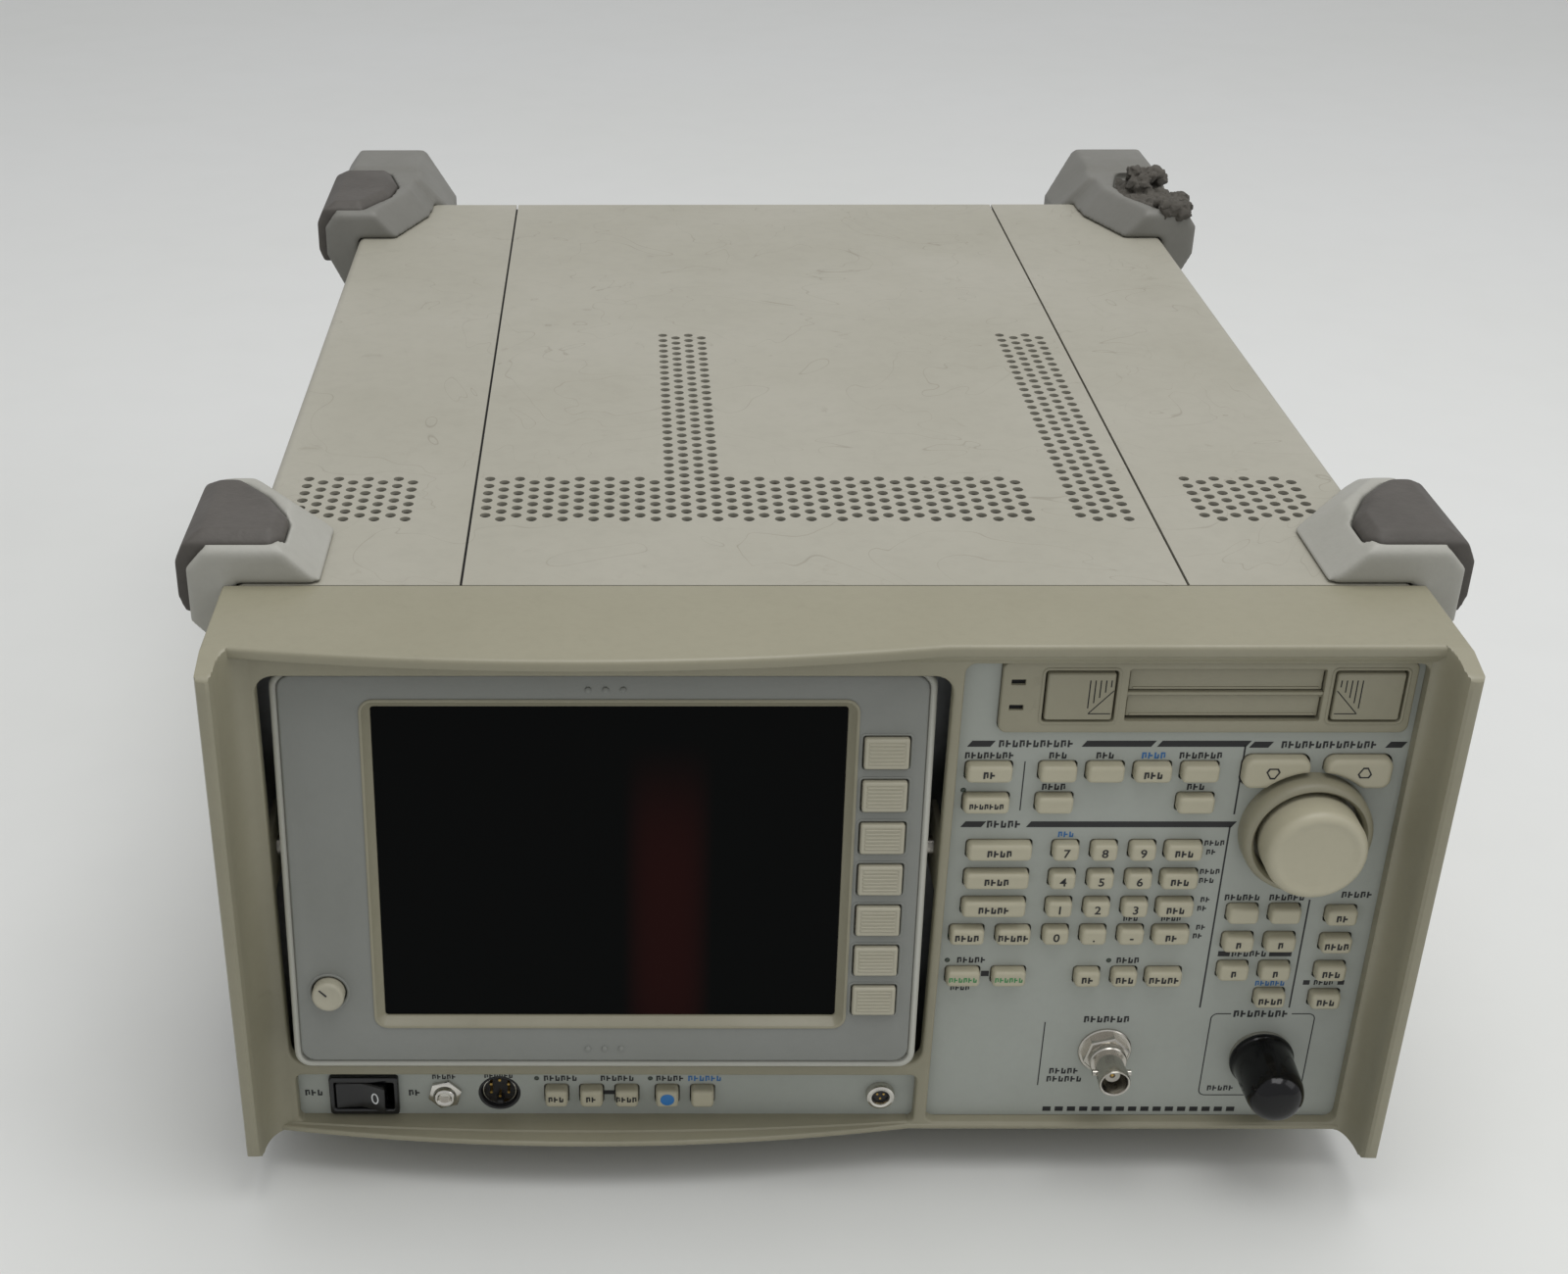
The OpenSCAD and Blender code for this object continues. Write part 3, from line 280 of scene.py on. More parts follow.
class Solid:
    """Collects closed shells for one piece."""

    def __init__(self):
        self.bm = bmesh.new()
        self.mat = 0

    def ring(self, points):
        return [self.bm.verts.new(p) for p in points]

    def face(self, verts):
        try:
            f = self.bm.faces.new(verts)
        except ValueError:
            return
        f.material_index = self.mat

    def skin(self, a, b):
        count = len(a)
        for i in range(count):
            self.face((a[i], a[(i + 1) % count], b[(i + 1) % count], b[i]))

    def loft(self, loops, closed=False):
        """Skins loops of equal length; the ends are capped unless the loft closes on itself."""
        rings = [self.ring(p) for p in loops]
        for a, b in zip(rings, rings[1:]):
            self.skin(a, b)
        if closed:
            self.skin(rings[-1], rings[0])
        else:
            self.face(rings[0])
            self.face(list(reversed(rings[-1])))
        return rings

    def stack(self, shape, layers):
        """Loft along y: layers are (y, growth of the outline)."""
        return self.loft([at(y, shape(g)) for y, g in layers])

    def plate(self, outer, holes, front, back, edge=0.4, hole_edge=None):
        """Plate between y = front and y = back with round front edges on its outline and holes."""
        hole_edge = edge if hole_edge is None else hole_edge
        chains = []
        for shape, sign, e in [(outer, -1, edge)] + [(h, 1, hole_edge) for h in holes]:
            rings = [self.ring(at(y, shape(sign * g))) for y, g in round_edge(front, e)]
            rings.append(self.ring(at(back, shape(0))))
            for a, b in zip(rings, rings[1:]):
                self.skin(a, b)
            chains.append(rings)
        for end in (0, -1):
            edges = []
            for rings in chains:
                loop = rings[end]
                for i, v in enumerate(loop):
                    pair = (v, loop[(i + 1) % len(loop)])
                    edges.append(self.bm.edges.get(pair) or self.bm.edges.new(pair))
            made = bmesh.ops.triangle_fill(self.bm, use_beauty=True, use_dissolve=False, edges=edges)
            for g in made["geom"]:
                if isinstance(g, bmesh.types.BMFace):
                    g.material_index = self.mat

    def tube(self, outer, inner, front, back, edge):
        """Frame between two outlines of equal length, with round front edges."""
        steps = round_edge(front, edge)
        loops = [at(back, outer(0))]
        loops += [at(y, outer(-g)) for y, g in reversed(steps)]
        loops += [at(y, inner(g)) for y, g in steps]
        loops.append(at(back, inner(0)))
        self.loft(loops, closed=True)

    def sweep(self, shape, section):
        """Closed section of (growth, y) points swept round an outline."""
        self.loft([at(y, shape(g)) for g, y in section], closed=True)

    def lathe(self, cx, cz, profile, steps=64):
        """Revolves (radius, distance in front of y = 0) points about the line x = cx, z = cz."""
        loops = []
        for radius, reach in profile:
            radius = max(radius, 0.01)
            loops.append([(cx + radius * math.cos(TAU * i / steps), -reach,
                           cz + radius * math.sin(TAU * i / steps)) for i in range(steps)])
        self.loft(loops)

    def turned(self, cx, cz, profile, steps=64):
        """A lathe whose distances count forward from the panel."""
        self.lathe(cx, cz, [(radius, reach - PANEL_Y) for radius, reach in profile], steps)

    def box(self, low, high, bevel=0.0):
        x0, y0, z0 = low
        x1, y1, z1 = high
        b = min(bevel, (x1 - x0) / 2.1, (z1 - z0) / 2.1, y1 - y0)
        shape = box_shape((x0 + x1) / 2, (z0 + z1) / 2, x1 - x0, z1 - z0, max(b, 0.02), 2 if b else 1)
        layers = [(y1, 0)]
        if b:
            layers += [(y0 + b, 0), (y0 + b * 0.3, -b * 0.3), (y0, -b)]
        else:
            layers += [(y0, 0)]
        self.stack(shape, layers)

    def rod(self, a, b, r, steps=16):
        a, b = Vector(a), Vector(b)
        side = (b - a).orthogonal().normalized()
        other = (b - a).normalized().cross(side)
        ring = [side * r * math.cos(TAU * i / steps) + other * r * math.sin(TAU * i / steps)
                for i in range(steps)]
        self.loft([[a + v for v in ring], [b + v for v in ring]])

    def done(self, name, body, mats, replaces=(), matrix=None, sharp=35.0):
        """Turns the collected shells into a piece riding on a body."""
        bm = self.bm
        bmesh.ops.recalc_face_normals(bm, faces=bm.faces[:])
        if matrix is not None:
            bmesh.ops.transform(bm, matrix=matrix, verts=bm.verts[:])
        to_frame(bm)
        return dress(mesh_from(bm, name), name, body, mats, replaces, sharp)


def mesh_from(bm, name):
    """A mesh that takes over what a bmesh holds."""
    mesh = bpy.data.meshes.new(name)
    bm.to_mesh(mesh)
    bm.free()
    return mesh


def add(name, data):
    """A new object in the scene."""
    ob = bpy.data.objects.new(name, data)
    bpy.context.collection.objects.link(ob)
    return ob


def dress(mesh, name, body, mats, replaces=(), sharp=35.0):
    """A piece made of a mesh: its finishes, its smooth shading and the body it rides on."""
    mats = [mats] if isinstance(mats, str) else mats
    for key in mats:
        mesh.materials.append(MAT[key])
    mesh.shade_smooth()
    mesh.set_sharp_from_angle(angle=math.radians(sharp))
    ob = add(name, mesh)
    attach(ob, body)
    if replaces:
        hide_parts(*replaces)
    return ob


def apply_modifiers(ob):
    """Bakes an object's modifiers into its mesh."""
    bpy.context.view_layer.update()
    graph = bpy.context.evaluated_depsgraph_get()
    baked = bpy.data.meshes.new_from_object(ob.evaluated_get(graph))
    old = ob.data
    ob.modifiers.clear()
    ob.data = baked
    bpy.data.meshes.remove(old)


def loose_from(mesh_source, keep=None):
    """A clean bmesh of a CAD node: welded, with its flat triangles merged."""
    bm = bmesh.new()
    bm.from_mesh(mesh_source)
    bmesh.ops.remove_doubles(bm, verts=bm.verts[:], dist=0.000002)
    if keep:
        seen, doomed = set(), []
        for v in bm.verts:
            if v in seen:
                continue
            island, todo = [], [v]
            seen.add(v)
            while todo:
                u = todo.pop()
                island.append(u)
                for e in u.link_edges:
                    w = e.other_vert(u)
                    if w not in seen:
                        seen.add(w)
                        todo.append(w)
            centre = sum((u.co for u in island), Vector()) / len(island)
            if not keep(centre / MM):
                doomed += island
        bmesh.ops.delete(bm, geom=doomed, context="VERTS")
    bmesh.ops.dissolve_limit(bm, angle_limit=math.radians(0.6), verts=bm.verts[:], edges=bm.edges[:])
    return bm


def paint_node(node, mat):
    """A CAD node shown as it is, in one finish."""
    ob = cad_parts[node]
    ob.data.materials.clear()
    ob.data.materials.append(MAT[mat])


# ---- Front bezel ---------------------------------------------------------------------------

def lip_front(x, base):
    """Front edge of a lip at x: it bulges over the display and is straight over the controls."""
    chord = BULGE_RIGHT - BULGE_LEFT
    if x >= BULGE_RIGHT:
        return base
    s = (x - BULGE_LEFT) / chord
    return base - BULGE * 4 * s * (1 - s)


def lip(solid, z_low, z_high, base, top_round, foot_round):
    """Plate with the bulging front edge, its front edge rounded above and below."""
    def outline(inset):
        xs = [BULGE_LEFT - 3 + i * (BULGE_RIGHT - BULGE_LEFT + 3) / 60 for i in range(61)]
        xs += [BULGE_RIGHT + i * (BEZEL_HALF - 0.6 - BULGE_RIGHT) / 12 for i in range(1, 13)]
        front = [(x, (lip_front(x, base) if x > BULGE_LEFT else base) + inset) for x in xs]
        return front + [(BEZEL_HALF - 0.6, 0.0), (-BEZEL_HALF + 0.6, 0.0)]
    loops = []
    for i in range(5):
        a = math.pi / 2 * i / 4
        loops.append([(x, y, z_high - top_round * (1 - math.cos(a)))
                      for x, y in outline(top_round * (1 - math.sin(a)))])
    for i in range(4):
        a = math.pi / 2 * i / 3
        loops.append([(x, y, z_low + foot_round * (1 - math.sin(a)))
                      for x, y in outline(foot_round * (1 - math.cos(a)))])
    solid.loft(loops)


def wing(solid, side):
    """Side wing whose inner face curves into the front; side is -1 (left) or 1 (right)."""
    tip, outer = WING_Y, -BEZEL_HALF
    section = [(outer, 0), (outer, tip + 1.6), (outer + 0.5, tip + 0.5), (outer + 1.5, tip),
               (outer + 3.2, tip), (outer + 4.1, tip + 0.6), (outer + 4.6, tip + 2.0)]
    # the cove ends at the opening beside it
    cove = 4.2 if side > 0 else 7.6
    for i in range(9):
        a = math.pi / 2 * i / 8
        section.append((outer + 4.9 + cove * (1 - math.cos(a)),
                        tip + 4.0 + (FASCIA_Y - 0.05 - tip - 4.0) * math.sin(a)))
    section += [(outer + 4.0 + cove, FASCIA_Y + 2.5), (outer + 4.5, FASCIA_Y + 3.0), (outer + 4.5, 0)]

    def cut(z):
        limits = [(BEZEL_Z0, WING_Y + 4.0), (BEZEL_Z0 + 0.5, WING_Y + 2.0), (BEZEL_Z0 + 1.6, WING_Y + 0.5),
                  (BEZEL_Z0 + 3.0, WING_Y), (BODY_Z1 - 4.2, WING_Y), (BODY_Z1 - 3.2, WING_Y + 1.2),
                  (BODY_Z1 - 0.8, LIP_Y - 2.5), (BODY_Z1, LIP_Y + 0.6)]
        for (z0, y0), (z1, y1) in zip(limits, limits[1:]):
            if z <= z1:
                return y0 + (y1 - y0) * (z - z0) / (z1 - z0)
        return limits[-1][1]

    loops = []
    heights = [BEZEL_Z0, BEZEL_Z0 + 0.2, BEZEL_Z0 + 0.5, BEZEL_Z0 + 1.0, BEZEL_Z0 + 1.6, BEZEL_Z0 + 3.0,
               BEZEL_Z0 + 8, 60, 105, 150, BODY_Z1 - 8]
    heights += [BODY_Z1 - 4.2 + 0.3 * i for i in range(13)] + [BODY_Z1 - 0.3, BODY_Z1 - 0.05]
    for z in heights:
        inset = {BEZEL_Z0: 0.7, BEZEL_Z0 + 0.2: 0.3, BODY_Z1 - 0.3: 0.35, BODY_Z1 - 0.05: 0.9}.get(z, 0)
        loops.append([(-side * max(x, outer + inset), max(y, cut(z)), z) for x, y in section])
    solid.loft(loops)


def bezel():
    s = Solid()
    s.plate(edge_shape((-171.5, 171.5, BEZEL_Z0 + 0.3, BODY_Z1 - 1.5), 2),
            [edge_shape(DISPLAY_OPEN, 5.5), edge_shape(STRIP_OPEN, 2.2), edge_shape(CONTROL_OPEN, 3.2)],
            FASCIA_Y, PANEL_Y, 0.6, 0.9)
    lip(s, BODY_Z1 - 3.5, BODY_Z1, LIP_Y, 1.4, 0.5)
    lip(s, BEZEL_Z0, BEZEL_Z0 + 2.1, FASCIA_Y - 0.5, 0.8, 1.0)
    wing(s, 1)
    wing(s, -1)
    # sloping band over the controls, from the lip down to their opening
    slope = [(-30, 186.2), (-30, 191.5), (-38.4, 190.8), (-38.3, 189.2), (-36.9, 186.6), (-36.2, 186.0)]
    s.loft([[(x, y, z) for y, z in slope] for x in (BULGE_RIGHT - 12, 174.0)])
    # second ridge on the lower lip
    ridge = []
    for i in range(49):
        x = BULGE_LEFT + i * (BULGE_RIGHT - BULGE_LEFT) / 48
        y = lip_front(x, FASCIA_Y + 0.2) * 0.55 + (FASCIA_Y + 0.2) * 0.45
        ridge.append([(x, PANEL_Y, BEZEL_Z0 + 1), (x, y, BEZEL_Z0 + 1), (x, y + 0.1, BEZEL_Z0 + 1.9),
                      (x, y + 0.7, BEZEL_Z0 + 2.6), (x, PANEL_Y, BEZEL_Z0 + 2.8)])
    s.loft(ridge)
    # ears for the display pivots
    for x in (DISPLAY_OPEN[0] - EAR_T, DISPLAY_OPEN[1]):
        s.box((x, PANEL_Y - 0.5, PIVOT_Z - 10), (x + EAR_T, PANEL_Y + 20, PIVOT_Z + 10), 0.3)
    return s.done("bezel_frame", "instrument", "bezel", ("front_bezel",), sharp=32)


bezel()


# ---- Display unit --------------------------------------------------------------------------

DISPLAY_EDGE = (-159.8, 30.7, -68.5, 63.1)
FACE_EDGE = (-157.4, 28.2, -65.3, 62.5)
LCD_EDGE = (-131.3, 5.6, -50.5, 51.9)
SOFTKEY_X, SOFTKEY_TOP, SOFTKEY_PITCH = 16.8, 38.5, 13.65
SOFTKEY_W, SOFTKEY_H = 12.9, 9.6
INTENSITY = (-147.7, -41.0)


def softkey_z(i):
    return SOFTKEY_TOP - i * SOFTKEY_PITCH


def display_unit():
    s = Solid()
    holes = [edge_shape(LCD_EDGE, 1.0)]
    holes += [box_shape(SOFTKEY_X, softkey_z(i), SOFTKEY_W + 0.8, SOFTKEY_H + 0.8, 0.8) for i in range(7)]
    holes.append(disc_shape(*INTENSITY, 5.3))
    wide = lambda g: edge_shape(LCD_EDGE, 1.0)(g + 2.6)
    s.plate(edge_shape(FACE_EDGE, 4.5), [wide] + holes[1:], 0.0, 2.5, 0.7, 0.25)
    # sloping frame round the display glass, with a fine rim
    s.mat = 1
    s.sweep(edge_shape(LCD_EDGE, 1.0), [(3.2, 0.4), (3.1, -0.25), (2.7, -0.4), (2.3, -0.25), (2.1, 0.1),
                                        (0.1, 2.2), (0.0, 3.0), (3.2, 3.0)])
    s.mat = 0
    # raised rims round the soft keys and the knob
    for i in range(7):
        rim = box_shape(SOFTKEY_X, softkey_z(i), SOFTKEY_W + 0.8, SOFTKEY_H + 0.8, 0.8)
        s.sweep(rim, [(0.9, 0.3), (0.8, -0.15), (0.5, -0.25), (0.15, -0.15), (0.0, 0.3)])
    s.sweep(disc_shape(*INTENSITY, 5.3), [(1.1, 0.3), (1.0, -0.2), (0.6, -0.35), (0.2, -0.2), (0.0, 0.3)])
    # small domes above and below the glass
    for x, z in [(-68.8, 58.0), (-63.8, 58.0), (-58.8, 58.0), (-69.6, -60.9), (-64.5, -60.9), (-59.4, -60.9)]:
        s.lathe(x, z, [(0.95, -0.4), (0.95, 0.05), (0.8, 0.4), (0.45, 0.62), (0.05, 0.7)], 20)
    s.done("display_front", "display", ["face", "bezel"], ("display_face",), DISPLAY_MATRIX, 32)

    s = Solid()
    s.sweep(edge_shape(DISPLAY_EDGE, 5), [
        (0.0, 19.5), (0.0, 2.6), (-0.25, 1.7), (-0.8, 1.1), (-1.5, 0.9), (-2.1, 1.2), (-2.5, 1.9),
        (-2.5, 17.5), (-1.0, 19.5)])
    s.plate(lambda g: edge_shape(DISPLAY_EDGE, 5)(g - 0.8), [box_shape(-64.6, 0, 60, 30, 4)], 17.6, 19.6, 0.3)
    s.done("display_shell", "display", "rim", ("display_housing",), DISPLAY_MATRIX, 32)

    s = Solid()
    shape = box_shape((LCD_EDGE[0] + LCD_EDGE[1]) / 2, 0.7, 143, 108, 1)
    s.stack(shape, [(2.9, -0.3), (3.1, 0), (4.4, 0), (4.6, -1.5), (12.0, -1.5)])
    s.done("display_glass", "display", "screen", ("lcd_panel",), DISPLAY_MATRIX, 32)

    for i in range(7):
        s = Solid()
        shape = box_shape(SOFTKEY_X, softkey_z(i), SOFTKEY_W, SOFTKEY_H, 0.7)
        s.stack(shape, [(8, 0), (-1.0, 0), (-1.35, -0.12), (-1.6, -0.45), (-1.65, -0.9), (-1.45, -1.2)])
        # fine level ridges on the cap
        for k in range(6):
            z = softkey_z(i) + 3.0 - k * 1.2
            s.rod((SOFTKEY_X - 5.0, -1.42, z), (SOFTKEY_X + 5.0, -1.42, z), 0.3, 10)
        name = "softkey_%d" % (i + 1)
        s.done(name + "_cap", name, "softkey", (name,), DISPLAY_MATRIX, 40)

    s = Solid()
    x, z = INTENSITY
    s.lathe(x, z, [(2, -8), (2, -1.0), (4.9, -1.0), (4.9, 2.6), (4.75, 3.2), (4.4, 3.6), (3.9, 3.75),
                   (3.4, 3.6), (0.1, 3.5)], 64)
    s.mat = 1
    turn = Matrix.Rotation(math.radians(45), 3, "Y")
    a, b = turn @ Vector((0, 0, 3.6)), turn @ Vector((0, 0, 0.6))
    s.rod((x - abs(a.x), -3.55, z + a.z), (x - abs(b.x), -3.55, z + b.z), 0.28, 8)
    s.done("intensity_cap", "intensity_knob", ["softkey", "ink"], ("intensity_knob",), DISPLAY_MATRIX)


display_unit()


# ---- Keys ----------------------------------------------------------------------------------

def keycap(s, x, z, w, h=KEY_H):
    """Rounded cap with a slightly dished top."""
    f = KEY_FRONT
    s.stack(box_shape(x, z, w, h, 1.4), [(KEY_BACK, 0), (f + 1.5, 0), (f + 0.8, -0.12), (f + 0.35, -0.38),
                                         (f + 0.1, -0.75), (f, -1.15), (f + 0.08, -1.7)])


DIGIT_X, DIGIT_PITCH, ROW_Z, ROW_PITCH = 72.0, 11.35, 121.4, 10.1
DIGIT_W, UNIT_X, UNIT_W, FUNCTION_X, FUNCTION_W = 7.6, 106.8, 10.8, 52.4, 19.0
KEYS = {
    "function_keys": [(FUNCTION_X, ROW_Z - i * ROW_PITCH, FUNCTION_W) for i in range(3)],
    "digit_keys": [(DIGIT_X + c * DIGIT_PITCH, ROW_Z - r * ROW_PITCH, DIGIT_W)
                   for r in range(4) for c in range(3)],
    "unit_keys": [(UNIT_X, ROW_Z - i * ROW_PITCH, UNIT_W) for i in range(4)],
    "measurement_keys": [(67 + i * 13.7, 148.4, 10.7) for i in range(4)]
    + [(67 + i * 13.7, 137.8, 10.7) for i in (0, 3)] + [(47.1, z, 13.3) for z in (148.4, 137.8)],
    "sweep_keys": [(x, z, 10.2) for z in (91.0, 75.5) for x in (45.2, 59.2)]
    + [(83.2 + i * DIGIT_PITCH, 75.4, DIGIT_W) for i in range(2)] + [(106.6, 75.4, UNIT_W)],
    "screen_keys": [(x, z, 9.1) for z in (98.8, 88.4, 77.7) for x in (127.5, 140.2)] + [(140.2, 67.4, 9.1)],
    "marker_keys": [(157.2, z, 9.1) for z in (98.2, 88.0, 77.6, 67.0)],
}
UTILITY_X = (-79.9, -68.8, -57.6, -44.8, -33.6)
STEP_X = {"step_down_key": 129.9, "step_up_key": 153.6}
STEP_Z, STEP_W, STEP_H, RING_R = 148.6, 19.2, 9.9, 19.0


def step_shape(cx):
    """Round-cornered block cut back round the knob ring."""
    def outline(g):
        limit = RING_R + 1.4 - g
        points = []
        block = rounded(STEP_W + 2 * g, STEP_H + 2 * g, 3 + g, 8)
        for x, z in [(cx + px, STEP_Z + pz) for px, pz in dense(block)]:
            dx, dz = x - KNOB[0], z - KNOB[1]
            d = math.hypot(dx, dz)
            if d < limit:
                x, z = KNOB[0] + dx * limit / d, KNOB[1] + dz * limit / d
            points.append((x, z))
        return points
    return outline


def dense(points, parts=6):
    """Splits each long edge of an outline so that it can bend."""
    out = []
    for (x0, z0), (x1, z1) in zip(points, points[1:] + points[:1]):
        pieces = parts if math.hypot(x1 - x0, z1 - z0) > 2 else 1
        out += [(x0 + (x1 - x0) * i / pieces, z0 + (z1 - z0) * i / pieces) for i in range(pieces)]
    return out


def key_banks():
    for node, places in KEYS.items():
        s = Solid()
        for x, z, w in places:
            keycap(s, x, z, w)
        s.done(node + "_caps", node, "key", (node,), sharp=40)
    s = Solid()
    for k, x in enumerate(UTILITY_X):
        keycap(s, x, STRIP_Z, 7.2, 6.8)
        if k == 3:
            s.mat = 1
            s.stack(disc_shape(x, STRIP_Z, 2.3, 24), [(KEY_FRONT + 1, 0), (KEY_FRONT - 0.05, -0.1),
                                                   (KEY_FRONT - 0.12, -0.5)])
            s.mat = 0
    s.done("utility_keys_caps", "utility_keys", ["key", "blue_key"], ("utility_keys",), sharp=40)
    for node, x in STEP_X.items():
        s = Solid()
        f = KEY_FRONT
        s.stack(step_shape(x), [(KEY_BACK, 0), (f + 1.6, 0), (f + 0.8, -0.15), (f + 0.3, -0.5), (f, -1.1),
                                (f + 0.05, -1.8)])
        s.done(node + "_cap", node, "key", (node,), sharp=40)


key_banks()


# ---- Marks: digits, arrows and neutral bars that stand for words ---------------------------

def glyphs(name, body, mat, items, y):
    """Raised characters: items are (text, x, z, height)."""
    bm = bmesh.new()
    for text, x, z, size in items:
        curve = bpy.data.curves.new("glyph", "FONT")
        curve.body = text
        curve.size = size * 1.35
        curve.extrude = 0.03
        curve.offset = 0.06
        curve.resolution_u = 3
        curve.align_x = "CENTER"
        curve.align_y = "CENTER"
        ob = add("glyph", curve)
        bpy.context.view_layer.update()
        graph = bpy.context.evaluated_depsgraph_get()
        mesh = bpy.data.meshes.new_from_object(ob.evaluated_get(graph))
        mesh.transform(Matrix.Translation((x, y, z)) @ Matrix.Rotation(math.pi / 2, 4, "X"))
        bm.from_mesh(mesh)
        bpy.data.objects.remove(ob)
        bpy.data.curves.remove(curve)
        bpy.data.meshes.remove(mesh)
    bmesh.ops.remove_doubles(bm, verts=bm.verts[:], dist=0.0001)
    to_frame(bm)
    return dress(mesh_from(bm, name), name, body, mat)


PRINT_OUT, PRINT_IN = 0.05, 0.2


def mark_box(s, x0, x1, z0, z1, y=PANEL_Y):
    """Printed rectangle on the plane y."""
    s.box((x0, y - PRINT_OUT, z0), (x1, y + PRINT_IN, z1))


def mark_plate(s, outline):
    """Printed patch of any outline on the panel."""
    s.loft([at(y, outline) for y in (PANEL_Y - PRINT_OUT, PANEL_Y + PRINT_IN)])


def word(s, x, z, letters, height=1.7, y=PANEL_Y):
    """A row of small blocks in place of a word, centred on x."""
    pitch = height * 0.86
    left = x - pitch * letters / 2
    low, high = z - height / 2, z + height / 2
    mid = (low + high) / 2
    bar = pitch * 0.30
    for i in range(letters):
        a = left + i * pitch
        cut = (i * 7 + letters * 3) % 3
        edge_z = (high - bar, mid - bar / 2, low)[cut]
        mark_box(s, a, a + bar, low, high, y)
        mark_box(s, a + bar * 0.9, a + pitch * 0.72, edge_z, edge_z + bar, y)
        if cut != 1:
            mark_box(s, a + pitch * 0.5, a + pitch * 0.76, mid - height * 0.35, mid + height * 0.2, y)


def stripe(s, x0, x1, z, thick=1.5, slant=0.0):
    low, high = z - thick / 2, z + thick / 2
    mark_plate(s, [(x0, low), (x1, low), (x1 + slant, high), (x0 + slant, high)])


def line(s, x, z0, z1, wide=0.35):
    mark_box(s, x - wide / 2, x + wide / 2, z0, z1)


def small_lamp(s, x, z):
    """Low round dome on a panel."""
    s.turned(x, z, [(0.8, -0.3), (0.8, 0.1), (0.5, 0.3), (0.05, 0.35)], 20)


# x, z, letters and height of the blocks that stand for words on the panel
PANEL_WORDS = [
    # measurement section
    (60.3, 157.1, 11, 2.3), (47.2, 153.2, 8, 2.1), (67.0, 153.2, 3, 2.1), (80.6, 153.2, 3, 2.1),
    (108.2, 153.2, 7, 2.1), (66.8, 142.6, 4, 2.1), (108.1, 142.6, 3, 2.1),
    # entry and sweep sections
    (53.4, 129.7, 5, 2.4), (94.6, 96.1, 3, 1.8), (106.8, 96.1, 4, 1.8),
    (47.8, 80.7, 5, 2.1), (45.1, 70.2, 4, 1.8), (95.6, 80.6, 4, 2.1),
    # display control section
    (144.6, 156.8, 14, 2.3), (127.2, 103.8, 6, 2.1), (140.6, 103.8, 6, 2.1), (132.2, 83.1, 6, 2.1),
    (161.4, 104.8, 5, 2.2), (156.6, 72.3, 4, 1.8),
    # connectors
    (91.7, 58.1, 7, 2.4), (80.4, 37.8, 5, 2.2), (80.8, 34.6, 6, 2.2), (139.2, 60.3, 8, 2.5),
    (130.6, 31.0, 5, 2.0),
]
BLUE_WORDS = [(94.6, 153.2, 4, 2.1), (72.0, 126.2, 3, 1.9), (140.2, 72.0, 6, 1.8)]
# x from, x to and z of the slanted bars beside the section names
HEADING_BARS = [(40.3, 47.0, 157.1), (73.3, 93.3, 157.1), (95.0, 120.6, 157.1), (40.5, 46.6, 129.7),
                (59.8, 120.2, 129.7), (121.5, 127.0, 156.8), (160.6, 165.4, 156.8)]
STRIP_WORDS = [(-157.0, STRIP_Z, 3, 2.3), (-125.0, STRIP_Z, 2, 2.3), (PHONE_X, 35.1, 5, 1.8),
               (SOCKET_X, 35.6, 6, 1.8), (-78.5, 34.6, 6, 2.1), (-60.5, 34.6, 6, 2.1),
               (-43.8, 34.6, 5, 2.1), (-79.9, 24.4, 4, 1.2), (-57.6, 24.4, 4, 1.2)]


